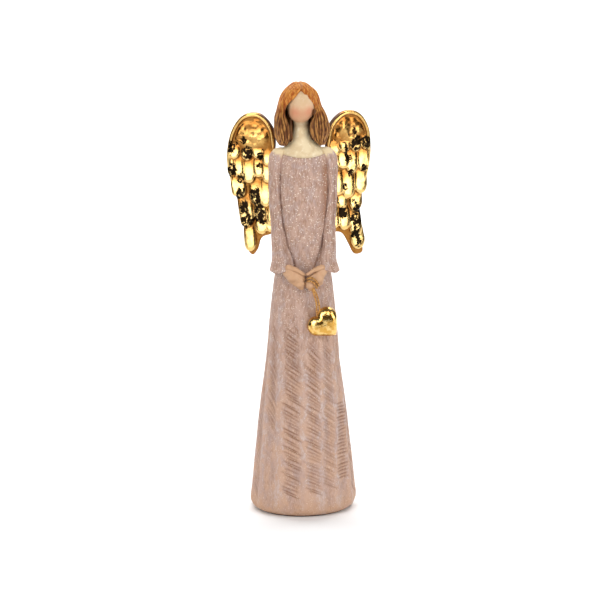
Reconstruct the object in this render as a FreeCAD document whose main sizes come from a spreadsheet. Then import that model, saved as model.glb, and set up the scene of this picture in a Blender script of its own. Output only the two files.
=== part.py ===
import FreeCAD, Part
import math
import os
import Sketcher

# A standing angel in a long gown, cast in resin: hollow gown, sleeves, hands, head, hair, gilded wings
# pinned to the back, and a gilded heart on a cord looped round the left hand.
# Frame: millimetres, +Z up, the front faces -Y, origin on the floor under the middle of the base.
# Right and left are the figure's own, so the right side is -X.

V = FreeCAD.Vector
X_AXIS = V(1, 0, 0)
Y_AXIS = V(0, 1, 0)
Z_AXIS = V(0, 0, 1)
SIDES = {"right": -1, "left": 1}

# Driving dimensions: millimetres, angles in degrees.
DIMENSIONS = {
    "felt_thickness": 1.2,
    "felt_half_width": 31.5,
    "felt_half_depth": 26,
    "plug_thickness": 4,
    "plug_half_width": 28,
    "plug_half_depth": 23,
    "plug_ledge": 1.5,
    "gown_wall": 5,
    "cavity_top_level": 152,
    "neckline_radius": 29.7,
    "neckline_level": 250,
    "cuff_wall": 1.6,
    "cuff_slope": 17,
    "head_x": -1.4,
    "head_y": -2,
    "head_level": 285,
    "head_half_width": 10,
    "head_half_depth": 11.5,
    "head_half_height": 12,
    "wing_root_x": 8,
    "wing_root_y": 13,
    "wing_sweep": 26,
    "wing_thickness": 5.6,
    "wing_edge_radius": 1.6,
    "neck_pin_diameter": 3,
    "neck_pin_length": 24,
    "neck_pin_bottom": 238,
    "wing_pin_diameter": 2,
    "wing_pin_length": 9.5,
    "wing_pin_front": 5,
    "wing_pin_x": 8.5,
    "wing_pin_upper_level": 236,
    "wing_pin_lower_level": 214,
    "hands_meet_x": -0.8,
    "hand_trim_size": 24,
    "hand_trim_y": -34,
    "hand_trim_level": 156,
    "heart_x": 14,
    "heart_y": -22.4,
    "heart_level": 135,
    "heart_side": 13.4,
    "heart_thickness": 11,
    "heart_pin_diameter": 1.5,
    "heart_pin_length": 9,
    "heart_pin_front": -22,
    "cord_diameter": 1.4,
    "cord_strand_gap": 2,
    "cord_y": -23.6,
    "wrap_level": 165.7,
    "wrap_x": 4.3,
    "wrap_y": -21.4,
    "wrap_half_width": 5,
    "wrap_half_depth": 5.4,
    "wrap_tilt": 38,
}

# Oval sections by name, from the bottom up: level, centre x, centre y, half width, half depth.
TORSO = {
    "base": (1.2, 0, 0, 33.5, 28),
    "hem_edge": (3, 0, 0, 35.7, 30.2),
    "hem": (7, 0, 0, 36.9, 31.4),
    "ankle": (18, 0, 0, 35.8, 30.5),
    "shin": (48, 0, 0, 32.5, 28),
    "knee": (77, 0, 0, 29.4, 25.6),
    "thigh": (106, 0, 0, 25.5, 22.8),
    "hip": (134, 0, 0, 22.9, 20.3),
    "cuff": (159, 0, 0, 20.6, 17.8),
    "belly": (180, 0, 0, 18, 15.4),
    "waist": (205, 0, 0, 17, 13.8),
    "chest": (230, 0, 0, 18.6, 14),
    "armpit": (243, 0, 0, 18.2, 13),
    "shoulder": (251, 0, 0, 16.5, 11),
    "collar": (257, -0.5, 0, 11.5, 8.4),
    "throat": (261.5, -1, 0, 7.4, 6.6),
    "neck": (266, -1.4, -0.5, 5.5, 5.4),
    "nape": (270, -1.6, -0.5, 5.2, 5.1),
    "jaw": (278, -1.6, -1, 5.4, 5.2),
}
CAVITY_SECTIONS = ("ankle", "shin", "knee", "thigh", "hip")
# The left sleeve; the right one is its mirror image.
SLEEVE = {
    "cuff_rim": (173, 16.2, -12.4, 9, 10.8),
    "cuff_flare": (180, 15.4, -9.8, 7.3, 9.4),
    "wrist": (190, 16.8, -6, 5.6, 8.5),
    "forearm": (205, 17.3, -1.5, 5.2, 7),
    "elbow": (225, 18.3, 0, 5.4, 6.8),
    "upper_arm": (240, 18.2, 0, 5.8, 7),
    "shoulder_edge": (248.5, 17.6, 0, 6, 6.8),
    "shoulder_round": (252.5, 16.4, 0, 5, 5.6),
    "shoulder_top": (255, 14.8, 0, 2.4, 3),
}
HAIR = {
    "tips": (257.5, -1, 3.5, 14, 9.5),
    "curl": (262, -1, 2, 18.3, 12.6),
    "ear_lobe": (268, -1, 1.5, 19, 14),
    "ear": (274, -1, 1, 18.4, 14.5),
    "temple": (281, -1, 0.5, 17.1, 14.8),
    "brow": (288, -1.2, 0, 14.6, 13.8),
    "crown": (294, -1.4, 0, 11.4, 11.2),
    "crown_round": (298, -1.4, 0, 7.3, 7.1),
    "crown_top": (300, -1.4, 0, 2.2, 2),
}
# Half of the face opening in the hair: distance from the middle of the face, and level, going down.
FACE_OPENING = ((0, 295.5), (6.4, 290), (9.2, 281), (7.4, 272), (6.6, 266), (9.4, 259), (10.5, 250))
FACE_OPENING_X = -2.2
# Wing outlines: distance from the root along the wing, and level. They go up the inner edge, over the
# top, down the outer edge to the long feather's tip, and back past the short inner feathers.
WING_OUTLINES = {
    "right": ((-2, 214), (2, 238), (10.5, 252), (13, 267), (22, 276), (32.8, 275), (41.5, 265),
              (46, 246), (44, 228), (37, 210), (32, 192), (31, 179.5), (27.4, 176.3), (23.4, 181),
              (20.5, 189), (12, 193)),
    "left": ((-2, 214), (2, 238), (10.5, 252), (14, 268), (24, 276.5), (35.7, 276), (44, 267),
             (46.9, 250), (45, 233), (40.3, 216), (38.3, 200), (41, 184), (41.6, 176), (35, 175),
             (29.6, 183), (24, 191), (12, 194)),
}
# Hands as fused ovals: centre x, y and level, half length, half depth, half height, and the angle by
# which the length drops towards +X.
HANDS = {
    "right": {
        "wrist": (-12, -20.6, 172.4, 4.2, 4, 3.4, 20),
        "fingers": (-7.5, -21.2, 167.8, 8.2, 5, 4.1, 37),
        "thumb": (-5.9, -23.2, 173.4, 5.8, 2.2, 1.7, 31),
    },
    "left": {
        "palm": (5.4, -21.2, 167.7, 7.8, 5, 4.8, -45),
        "fingers": (1.9, -21.8, 164.4, 4.2, 4.2, 3, -30),
        "thumb": (2.6, -23.2, 172.8, 5, 2.2, 1.5, -28),
    },
}
# The heart's outlines through its thickness: the angles round its bulge from back to front, the share
# of its size that the flat faces keep, and how far out the cleft lies compared with a square's corner.
HEART_BULGE_ANGLES = (-75, -45, -20, 0, 20, 45, 75)
HEART_FLAT_SHARE = 0.1
HEART_CLEFT_SHARE = 0.9
# The middle of the cord's two strands, from the hand to the heart: x and level at three points.
CORD_ROUTE = ((4, 161.5), (7, 151.5), (8.2, 141.5))

doc = FreeCAD.newDocument("angel_figurine")
dims = doc.addObject("Spreadsheet::Sheet", "dims")
next_row = 1


def put(alias, value):
    """Writes one dimension in the sheet's next row: its name in column A, its number in column B."""
    global next_row
    dims.set(f"A{next_row}", alias)
    dims.set(f"B{next_row}", str(value))
    dims.setAlias(f"B{next_row}", alias)
    next_row += 1


def read(alias):
    """The number in the sheet under that alias."""
    return float(dims.get(alias))


def origin_plane(body, role):
    return next(feature for feature in body.Origin.OriginFeatures if feature.Role == role)


def attached_sketch(body, name, role, offset=None):
    """A sketch on one of the body's own origin planes, moved from it by offset."""
    sketch = body.newObject("Sketcher::SketchObject", name)
    sketch.AttachmentSupport = [(origin_plane(body, role), "")]
    sketch.MapMode = "FlatFace"
    sketch.AttachmentOffset = offset or FreeCAD.Placement()
    return sketch


def draw_oval(sketch, half_width, half_depth, width_cell, depth_cell):
    """An ellipse about the sketch's origin, its two full axes bound to expressions on the sheet."""
    wide = half_width >= half_depth
    long_end = V(half_width, 0, 0) if wide else V(0, half_depth, 0)
    short_end = V(0, half_depth, 0) if wide else V(half_width, 0, 0)
    sketch.addGeometry(Part.Ellipse(long_end, short_end, V(0, 0, 0)), False)
    sketch.exposeInternalGeometry(0)
    sketch.addConstraint(Sketcher.Constraint("Coincident", 0, 3, -1, 1))
    sketch.addConstraint(Sketcher.Constraint("Horizontal" if wide else "Vertical", 1))
    axes = (("half_width", half_width, width_cell), ("half_depth", half_depth, depth_cell))
    for line, (name, half, cell) in zip((1, 2) if wide else (2, 1), axes):
        number = sketch.addConstraint(Sketcher.Constraint("Distance", line, 1, line, 2, 2 * half))
        sketch.renameConstraint(number, name)
        sketch.setExpression(f"Constraints.{name}", f"2 * ({cell})")


def draw_round(sketch, diameter_cell):
    """A circle about the sketch's origin whose diameter is in the sheet."""
    sketch.addGeometry(Part.Circle(V(0, 0, 0), Z_AXIS, read(diameter_cell) / 2), False)
    sketch.addConstraint(Sketcher.Constraint("Coincident", 0, 3, -1, 1))
    number = sketch.addConstraint(Sketcher.Constraint("Diameter", 0, read(diameter_cell)))
    sketch.renameConstraint(number, "thickness")
    sketch.setExpression("Constraints.thickness", f"dims.{diameter_cell}")


def oval_section(body, piece, section, side=1, inset=None):
    """A level oval sketch at a named section of a piece, shrunk by the cell named inset."""
    cell = f"dims.{piece}_{section}"
    shrink = f" - dims.{inset}" if inset else ""
    half_width = read(f"{piece}_{section}_half_width") - (read(inset) if inset else 0)
    half_depth = read(f"{piece}_{section}_half_depth") - (read(inset) if inset else 0)
    sketch = attached_sketch(body, f"{body.Name}_{section}", "XY_Plane")
    draw_oval(sketch, half_width, half_depth, f"{cell}_half_width{shrink}", f"{cell}_half_depth{shrink}")
    sketch.setExpression("AttachmentOffset.Base.x", f"{side} * {cell}_x")
    sketch.setExpression("AttachmentOffset.Base.y", f"{cell}_y")
    sketch.setExpression("AttachmentOffset.Base.z", f"{cell}_level")
    return sketch


def loft_through(body, sketches):
    loft = body.newObject("PartDesign::AdditiveLoft", f"{body.Name}_loft")
    loft.Profile = sketches[0]
    loft.Sections = sketches[1:]
    return loft


def oval_loft(name, piece, sections, side=1):
    """A body lofted through the named oval sections of a piece."""
    body = doc.addObject("PartDesign::Body", name)
    loft_through(body, [oval_section(body, piece, section, side) for section in sections])
    return body


def oval_disc(name, piece, bottom):
    """A flat oval disc whose size comes from the piece's cells, standing on the expression bottom."""
    body = doc.addObject("PartDesign::Body", name)
    sketch = attached_sketch(body, f"{name}_outline", "XY_Plane")
    half_width = read(f"{piece}_half_width")
    half_depth = read(f"{piece}_half_depth")
    draw_oval(sketch, half_width, half_depth, f"dims.{piece}_half_width", f"dims.{piece}_half_depth")
    sketch.setExpression("AttachmentOffset.Base.z", bottom)
    pad = body.newObject("PartDesign::Pad", f"{name}_pad")
    pad.Profile = sketch
    pad.setExpression("Length", f"dims.{piece}_thickness")
    return body


def pin(name, piece, x, y, z, along=Z_AXIS):
    """A steel dowel that starts at the expressions x, y and z and runs along an axis."""
    dowel = doc.addObject("Part::Cylinder", name)
    dowel.setExpression("Radius", f"dims.{piece}_diameter / 2")
    dowel.setExpression("Height", f"dims.{piece}_length")
    dowel.Placement.Rotation = FreeCAD.Rotation(Z_AXIS, along)
    for axis, place in zip("xyz", (x, y, z)):
        dowel.setExpression(f"Placement.Base.{axis}", place)
    return dowel


def ellipsoid(name, cell, radii=("height", "width", "depth")):
    """An oval solid with its half sizes and its centre in the sheet; its poles are on the first size."""
    solid = doc.addObject("Part::Ellipsoid", name)
    for number, size in enumerate(radii, 1):
        solid.setExpression(f"Radius{number}", f"{cell}_half_{size}")
    solid.setExpression("Placement.Base.x", f"{cell}_x")
    solid.setExpression("Placement.Base.y", f"{cell}_y")
    solid.setExpression("Placement.Base.z", f"{cell}_level")
    return solid


def inside(tool, base):
    """The part of the base that lies inside the tool."""
    part = doc.addObject("Part::Common", f"{base.Name}_in_{tool.Name}")
    part.Base = base
    part.Tool = tool
    return part


def fuse(name, *shapes):
    union = doc.addObject("Part::MultiFuse", name)
    union.Shapes = list(shapes)
    return union


def cut(label, base, *tools):
    """The base with each tool taken away in turn; the last step carries the label."""
    for number, tool in enumerate(tools, 1):
        step = doc.addObject("Part::Cut", f"{label}_cut_{number}")
        step.Base = base
        step.Tool = tool
        base = step
    base.Label = label
    return base


def fill_sheet():
    for alias, value in DIMENSIONS.items():
        put(alias, value)
    section_columns = ("level", "x", "y", "half_width", "half_depth")
    for piece, sections in (("torso", TORSO), ("sleeve", SLEEVE), ("hair", HAIR)):
        for section, values in sections.items():
            for column, value in zip(section_columns, values):
                put(f"{piece}_{section}_{column}", value)
    hand_columns = ("x", "y", "level", "half_width", "half_depth", "half_height", "drop")
    for side, ovals in HANDS.items():
        for oval, values in ovals.items():
            for column, value in zip(hand_columns, values):
                put(f"{side}_{oval}_{column}", value)
    doc.recompute()


def make_cavity():
    """The hollow of the gown: a pocket for the plug, a ledge above it, and the room over that."""
    body = doc.addObject("PartDesign::Body", "gown_cavity")
    mouth = attached_sketch(body, "cavity_mouth", "XY_Plane")
    half_width = read("plug_half_width") - read("plug_ledge")
    half_depth = read("plug_half_depth") - read("plug_ledge")
    ledge = "dims.plug_ledge"
    draw_oval(mouth, half_width, half_depth,
              f"dims.plug_half_width - {ledge}", f"dims.plug_half_depth - {ledge}")
    mouth.setExpression("AttachmentOffset.Base.z", "dims.felt_thickness + dims.plug_thickness")
    walls = [oval_section(body, "torso", section, inset="gown_wall") for section in CAVITY_SECTIONS]
    top = attached_sketch(body, "cavity_top", "XY_Plane")
    draw_oval(top, read("torso_hip_half_width") / 3, read("torso_hip_half_depth") / 3,
              "dims.torso_hip_half_width / 3", "dims.torso_hip_half_depth / 3")
    top.setExpression("AttachmentOffset.Base.z", "dims.cavity_top_level")
    loft_through(body, [mouth, *walls, top])
    return body


def make_neckline():
    """A cylinder across the shoulders: below it is cloth, inside it is skin."""
    cylinder = doc.addObject("Part::Cylinder", "neckline")
    cylinder.setExpression("Radius", "dims.neckline_radius")
    cylinder.setExpression("Height", "2 * dims.neckline_radius")
    cylinder.Placement.Rotation = FreeCAD.Rotation(Z_AXIS, Y_AXIS)
    cylinder.setExpression("Placement.Base.y", "-dims.neckline_radius")
    cylinder.setExpression("Placement.Base.z", "dims.neckline_level + dims.neckline_radius")
    return cylinder


def make_sleeve(side):
    """A sleeve that bells out to a sloping cuff, hollowed a little way up from its rim."""
    sign = SIDES[side]
    body = doc.addObject("PartDesign::Body", f"{side}_sleeve_casting")
    sketches = [oval_section(body, "sleeve", section, sign) for section in SLEEVE]
    rim = sketches[0]
    slope = -sign * read("cuff_slope")
    rim.AttachmentOffset = FreeCAD.Placement(rim.AttachmentOffset.Base, FreeCAD.Rotation(Y_AXIS, -slope))
    loft_through(body, sketches)
    doc.recompute()
    mouth = attached_sketch(body, f"{side}_cuff_mouth", "XY_Plane", rim.AttachmentOffset)
    half_width = read("sleeve_cuff_rim_half_width") - read("cuff_wall")
    half_depth = read("sleeve_cuff_rim_half_depth") - read("cuff_wall")
    draw_oval(mouth, half_width, half_depth, "dims.sleeve_cuff_rim_half_width - dims.cuff_wall",
              "dims.sleeve_cuff_rim_half_depth - dims.cuff_wall")
    recess = body.newObject("PartDesign::SubtractiveLoft", f"{side}_cuff_recess")
    recess.Profile = mouth
    recess.Sections = [oval_section(body, "sleeve", "cuff_flare", sign, inset="cuff_wall")]
    return body


def hand_ovals(side):
    ovals = []
    for oval in HANDS[side]:
        solid = ellipsoid(f"{side}_{oval}", f"dims.{side}_{oval}", ("width", "height", "depth"))
        solid.Placement.Rotation = FreeCAD.Rotation(Y_AXIS, 90 + read(f"{side}_{oval}_drop"))
        ovals.append(solid)
    return ovals


def make_hand(side, ovals):
    """The ovals of one hand as one piece, trimmed flat where it meets the other hand."""
    trim = doc.addObject("Part::Box", f"{side}_hand_trim")
    for length in ("Length", "Width", "Height"):
        trim.setExpression(length, "dims.hand_trim_size")
    inner_face = "dims.hands_meet_x" if side == "right" else "dims.hands_meet_x - dims.hand_trim_size"
    trim.setExpression("Placement.Base.x", inner_face)
    trim.setExpression("Placement.Base.y", "dims.hand_trim_y")
    trim.setExpression("Placement.Base.z", "dims.hand_trim_level")
    return cut(f"{side}_hand_casting", fuse(f"{side}_hand_ovals", *ovals), trim)


def spline_through(points):
    curve = Part.BSplineCurve()
    curve.interpolate([V(x, y, 0) for x, y in points])
    return curve


def make_face_opening():
    """The keyhole that the face, the throat and the neckline show through, open to the front."""
    body = doc.addObject("PartDesign::Body", "face_opening")
    sketch = attached_sketch(body, "face_outline", "XZ_Plane")
    left = [(FACE_OPENING_X + reach, level) for reach, level in FACE_OPENING]
    right = [(FACE_OPENING_X - reach, level) for reach, level in FACE_OPENING]
    sketch.addGeometry(spline_through(left), False)
    sketch.addGeometry(spline_through(right), False)
    sketch.addGeometry(Part.LineSegment(V(*left[-1], 0), V(*right[-1], 0)), False)
    pad = body.newObject("PartDesign::Pad", "face_depth")
    pad.Profile = sketch
    pad.setExpression("Length", "2 * dims.head_half_depth")
    return body


def make_wing(side):
    """A flat wing cut to its outline, leaning back from the root, with rounded edges."""
    sign = SIDES[side]
    body = doc.addObject("PartDesign::Body", f"{side}_wing_casting")
    sketch = attached_sketch(body, f"{side}_wing_outline", "XZ_Plane")
    curve = Part.BSplineCurve()
    curve.interpolate([V(sign * reach, level, 0) for reach, level in WING_OUTLINES[side]], PeriodicFlag=True)
    sketch.addGeometry(curve, False)
    pad = body.newObject("PartDesign::Pad", f"{side}_wing_pad")
    pad.Profile = sketch
    pad.Midplane = True
    pad.setExpression("Length", "dims.wing_thickness")
    doc.recompute()
    fillet = body.newObject("PartDesign::Fillet", f"{side}_wing_edges")
    fillet.Base = (pad, ["Face2", "Face3"])
    fillet.setExpression("Radius", "dims.wing_edge_radius")
    body.Placement.Rotation = FreeCAD.Rotation(Z_AXIS, sign * read("wing_sweep"))
    body.setExpression("Placement.Base.x", f"{sign} * dims.wing_root_x")
    body.setExpression("Placement.Base.y", "dims.wing_root_y")
    return body


def make_heart():
    """A puffy heart, tilted so that its tip points down and to the left: level by level through its
    thickness it is the same outline, a square with a half disc on two sides, larger in the middle."""
    body = doc.addObject("PartDesign::Body", "heart_casting")
    sketches = []
    for number, bulge in enumerate(HEART_BULGE_ANGLES):
        turn = math.radians(bulge)
        full = math.sin(math.radians(HEART_BULGE_ANGLES[-1]))
        depth = read("heart_thickness") / 2 * math.sin(turn) / full
        side = read("heart_side") * (HEART_FLAT_SHARE + (1 - HEART_FLAT_SHARE) * math.cos(turn))
        half = side / 2
        cleft = V(-half * HEART_CLEFT_SHARE, half * HEART_CLEFT_SHARE, 0)
        top_right = V(half, half, 0)
        tip = V(half, -half, 0)
        bottom_left = V(-half, -half, 0)
        sketch = attached_sketch(body, f"heart_outline_{number}", "XZ_Plane",
                                 FreeCAD.Placement(V(0, 0, depth), FreeCAD.Rotation()))
        sketch.addGeometry(Part.LineSegment(bottom_left, tip), False)
        sketch.addGeometry(Part.LineSegment(tip, top_right), False)
        sketch.addGeometry(Part.Arc(top_right, V(half * 0.1, side, 0), cleft), False)
        sketch.addGeometry(Part.Arc(cleft, V(-side, -half * 0.1, 0), bottom_left), False)
        sketches.append(sketch)
    loft_through(body, sketches)
    for axis in "xy":
        body.setExpression(f"Placement.Base.{axis}", f"dims.heart_{axis}")
    body.setExpression("Placement.Base.z", "dims.heart_level")
    return body


def make_cord():
    """Two strands side by side along one arc, joined by a half turn at each end."""
    body = doc.addObject("PartDesign::Body", "cord_strands")
    start, middle, end = (V(x, level, 0) for x, level in CORD_ROUTE)
    centre = Part.Arc(start, middle, end).toShape().Curve.Center
    half_gap = read("cord_strand_gap") / 2
    path = attached_sketch(body, "strand_path", "XZ_Plane",
                           FreeCAD.Placement(V(0, 0, -read("cord_y")), FreeCAD.Rotation()))

    def beside(point, shift):
        """The point moved away from the arc's centre by shift."""
        outward = (point - centre).normalize()
        return point + outward * shift

    def beyond(point, other):
        """The far point of the half turn that closes the strands at one end."""
        along = (point - centre).cross(Z_AXIS).normalize()
        if along.dot(point - other) < 0:
            along = along * -1
        return point + along * half_gap

    corners = {(where, shift): beside(point, shift * half_gap)
               for where, point in (("start", start), ("middle", middle), ("end", end)) for shift in (-1, 1)}
    path.addGeometry(Part.Arc(corners["start", 1], corners["middle", 1], corners["end", 1]), False)
    path.addGeometry(Part.Arc(corners["end", 1], beyond(end, start), corners["end", -1]), False)
    path.addGeometry(Part.Arc(corners["end", -1], corners["middle", -1], corners["start", -1]), False)
    path.addGeometry(Part.Arc(corners["start", -1], beyond(start, end), corners["start", 1]), False)

    heading = (corners["start", 1] - centre).cross(Z_AXIS)
    lean = FreeCAD.Rotation(Z_AXIS, V(heading.x, 0, heading.y))
    first = corners["start", 1]
    section = attached_sketch(body, "strand_section", "XY_Plane",
                              FreeCAD.Placement(V(first.x, read("cord_y"), first.y), lean))
    draw_round(section, "cord_diameter")
    strand = body.newObject("PartDesign::AdditivePipe", "strand_loop")
    strand.Profile = section
    strand.Spine = (path, ["Edge1", "Edge2", "Edge3", "Edge4"])
    return body


def make_wrap():
    """The cord's turn round the fingers of the left hand."""
    body = doc.addObject("PartDesign::Body", "wrap_ring")
    tilt = FreeCAD.Rotation(Y_AXIS, read("wrap_tilt"))
    centre = V(read("wrap_x"), read("wrap_y"), read("wrap_level"))
    path = attached_sketch(body, "wrap_path", "XY_Plane", FreeCAD.Placement(centre, tilt))
    draw_oval(path, read("wrap_half_width"), read("wrap_half_depth"),
              "dims.wrap_half_width", "dims.wrap_half_depth")
    start = centre + tilt.multVec(V(read("wrap_half_width"), 0, 0))
    section = attached_sketch(body, "wrap_section", "XZ_Plane",
                              FreeCAD.Placement(V(start.x, start.z, -start.y), FreeCAD.Rotation()))
    draw_round(section, "cord_diameter")
    ring = body.newObject("PartDesign::AdditivePipe", "wrap_turn")
    ring.Profile = section
    ring.Spine = (path, ["Edge1"])
    return body


def build():
    """Makes every sub-part and returns them by node name."""
    fill_sheet()
    torso = oval_loft("torso", "torso", TORSO)
    neckline = make_neckline()
    sleeve_castings = {side: make_sleeve(side) for side in SIDES}
    plug = oval_disc("bottom_plug", "plug", "dims.felt_thickness")
    felt = oval_disc("felt_pad", "felt", "0")
    neck_pin = pin("neck_pin", "neck_pin", "dims.head_x", "0", "dims.neck_pin_bottom")
    wing_pins = {
        (side, level): pin(f"{side}_wing_pin_{level}", "wing_pin", f"{sign} * dims.wing_pin_x",
                           "dims.wing_pin_front", f"dims.wing_pin_{level}_level", Y_AXIS)
        for side, sign in SIDES.items() for level in ("upper", "lower")}
    heart_pin = pin("heart_pin", "heart_pin", "dims.heart_x", "dims.heart_pin_front",
                    "dims.heart_level", Y_AXIS)

    skull = ellipsoid("skull", "dims.head")
    skin = [inside(neckline, cloth) for cloth in (torso, *sleeve_castings.values())]
    head = cut("head", fuse("head_and_neck", skull, *skin), neck_pin)
    sleeves = {side: cut(f"{side}_sleeve", casting, neckline) for side, casting in sleeve_castings.items()}
    gown = cut("gown", torso, neckline, *sleeves.values(), make_cavity(), plug, neck_pin,
               *wing_pins.values(), heart_pin)
    hair = cut("hair", oval_loft("hair_casting", "hair", HAIR), make_face_opening(), skull, torso)

    ovals = {side: hand_ovals(side) for side in SIDES}
    hands = {side: cut(f"{side}_hand", make_hand(side, ovals[side]), gown, sleeves[side]) for side in SIDES}
    wings = {
        side: cut(f"{side}_wing", make_wing(side), torso, sleeves[side],
                  wing_pins[side, "upper"], wing_pins[side, "lower"])
        for side in SIDES}
    heart = cut("heart", make_heart(), gown, heart_pin)
    wrap = cut("cord_hand_wrap", make_wrap(), *ovals["left"], gown)
    cord = cut("heart_cord", make_cord(), wrap, *ovals["left"], heart)

    nodes = [gown, plug, felt, head, hair, neck_pin, heart, heart_pin, wrap, cord,
             *sleeves.values(), *hands.values(), *wings.values(), *wing_pins.values()]
    doc.recompute()
    return {node.Label: node for node in nodes}


def check(nodes):
    """Stops if any object failed, or a sub-part isn't one valid closed solid."""
    failed = [item.Name for item in doc.Objects if "Invalid" in item.State or "Error" in item.State]
    for name, node in nodes.items():
        shape = node.Shape
        if shape.isNull() or not shape.isValid() or len(shape.Solids) != 1:
            failed.append(f"{name} ({0 if shape.isNull() else len(shape.Solids)} solids)")
    if failed:
        raise SystemExit("failed: " + ", ".join(failed))


def export(nodes):
    os.makedirs("parts", exist_ok=True)
    for name, node in nodes.items():
        node.Shape.exportStep(f"parts/{name}.step")
        print(f"{name}: {node.Shape.Volume / 1000:.2f} cm3")


sub_parts = build()
check(sub_parts)
export(sub_parts)
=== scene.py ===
import math

import bpy
import numpy as np
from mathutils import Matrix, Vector


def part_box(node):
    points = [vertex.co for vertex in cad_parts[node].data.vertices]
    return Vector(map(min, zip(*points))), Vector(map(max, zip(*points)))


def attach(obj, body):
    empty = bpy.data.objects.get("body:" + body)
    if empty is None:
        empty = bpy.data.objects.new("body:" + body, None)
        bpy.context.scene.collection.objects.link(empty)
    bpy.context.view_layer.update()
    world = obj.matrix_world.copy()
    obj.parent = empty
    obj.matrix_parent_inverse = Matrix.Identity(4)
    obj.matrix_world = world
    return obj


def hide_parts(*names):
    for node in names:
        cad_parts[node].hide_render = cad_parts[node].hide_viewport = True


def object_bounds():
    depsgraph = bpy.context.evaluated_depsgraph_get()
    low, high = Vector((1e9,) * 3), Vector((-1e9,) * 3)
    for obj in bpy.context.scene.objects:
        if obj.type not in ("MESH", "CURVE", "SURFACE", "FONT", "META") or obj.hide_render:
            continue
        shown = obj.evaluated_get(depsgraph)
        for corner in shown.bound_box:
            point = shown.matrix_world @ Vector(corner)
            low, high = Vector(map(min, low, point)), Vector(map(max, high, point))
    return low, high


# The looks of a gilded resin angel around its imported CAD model. Shapes below are in design millimetres
# on a figure 300 mm tall, +Z up, front towards -Y; MM turns them into the frame's metres.
# Right and left are the figure's own, so the right side is -X.

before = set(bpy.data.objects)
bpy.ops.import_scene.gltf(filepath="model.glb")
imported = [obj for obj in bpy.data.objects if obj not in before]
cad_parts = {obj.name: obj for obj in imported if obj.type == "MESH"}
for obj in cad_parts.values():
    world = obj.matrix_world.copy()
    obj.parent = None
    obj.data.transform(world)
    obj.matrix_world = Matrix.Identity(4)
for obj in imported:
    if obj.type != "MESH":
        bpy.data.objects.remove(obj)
CAD_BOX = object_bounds()
DESIGN_HEIGHT = 300
MM = (CAD_BOX[1].z - CAD_BOX[0].z) / DESIGN_HEIGHT
BODY = "root"
SIDES = {"right": -1, "left": 1}
FORWARD = (0, -1, 0)
RANDOM = np.random.default_rng(11)


def middle(node):
    """The middle of a CAD node's box, in design millimetres."""
    low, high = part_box(node)
    return np.array((low + high) / 2) / MM


def half_size(node):
    """Half of a CAD node's box, in design millimetres."""
    low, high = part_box(node)
    return np.array((high - low) / 2) / MM


# ---------------------------------------------------------------- curves and surfaces

def smoothstep(low, high, value):
    """0 up to low and 1 from high on, or the other way round where low is the larger."""
    share = np.clip((value - low) / (high - low), 0, 1)
    return share * share * (3 - 2 * share)


def between(start, full, fade, end, value):
    """Rises from start to full, holds, and falls from fade to end."""
    return smoothstep(start, full, value) * smoothstep(end, fade, value)


def bell(value, centre, width):
    """1 at the centre, fading on both sides."""
    return np.exp(-((value - centre) / width) ** 2)


def rounded(away, reach, least):
    """Width of a round end as a share of full width, at a distance from its tip."""
    return np.sqrt(np.clip(1 - np.clip(1 - away / reach, 0, 1) ** 2, least, 1))


def blunt(t, power, least):
    """Width of a rod with blunt ends as a share of full width, t from 0 to 1 along it."""
    return np.sqrt(np.clip(1 - (2 * t - 1) ** power, least, 1))


def hermite(t, step, start, end, start_slope, end_slope):
    """Cubic from start to end over a step with these slopes, t from 0 to 1."""
    return ((1 + 2 * t) * (1 - t) ** 2 * start + t * (1 - t) ** 2 * step * start_slope
            + t * t * (3 - 2 * t) * end + t * t * (t - 1) * step * end_slope)


def ease(stations, values, at):
    """Cubic curve without overshoot through values at rising stations."""
    stations = np.asarray(stations, float)
    values = np.asarray(values, float).reshape(len(stations), -1)
    step = np.diff(stations)[:, None]
    slope = np.diff(values, axis=0) / step
    tangent = np.zeros_like(values)
    product = slope[:-1] * slope[1:]
    total = slope[:-1] + slope[1:]
    tangent[1:-1] = np.where(product > 0, 2 * product / np.where(total == 0, 1, total), 0)
    tangent[0] = slope[0]
    tangent[-1] = slope[-1]
    at = np.asarray(at, float)
    flat = np.clip(at.ravel(), stations[0], stations[-1])
    i = np.clip(np.searchsorted(stations, flat) - 1, 0, len(stations) - 2)
    t = ((flat - stations[i]) / step[i, 0])[:, None]
    curve = hermite(t, step[i], values[i], values[i + 1], tangent[i], tangent[i + 1])
    return curve.reshape(*at.shape, values.shape[1])


def path(points, count, closed=False):
    """Evenly spaced points along a smooth curve through the given ones."""
    points = np.asarray(points, float)
    if closed:
        points = np.vstack([points[-2:], points, points[:3]])
    knots = np.r_[0, np.cumsum(np.linalg.norm(np.diff(points, axis=0), axis=1) ** 0.5)]
    step = np.diff(knots)[:, None]
    slope = np.diff(points, axis=0) / step
    tangent = np.zeros_like(points)
    tangent[1:-1] = (slope[:-1] * step[1:] + slope[1:] * step[:-1]) / (step[1:] + step[:-1])
    tangent[0] = slope[0]
    tangent[-1] = slope[-1]
    spans = range(2, len(points) - 3) if closed else range(len(points) - 1)
    t = np.linspace(0, 1, 24, endpoint=False)[:, None]
    pieces = [hermite(t, step[i], points[i], points[i + 1], tangent[i], tangent[i + 1]) for i in spans]
    last = points[2] if closed else points[-1]
    fine = np.vstack([*pieces, last])
    length = np.r_[0, np.cumsum(np.linalg.norm(np.diff(fine, axis=0), axis=1))]
    wanted = np.linspace(0, length[-1], count, endpoint=not closed)
    return np.stack([np.interp(wanted, length, fine[:, k]) for k in range(fine.shape[1])], axis=1)


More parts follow.
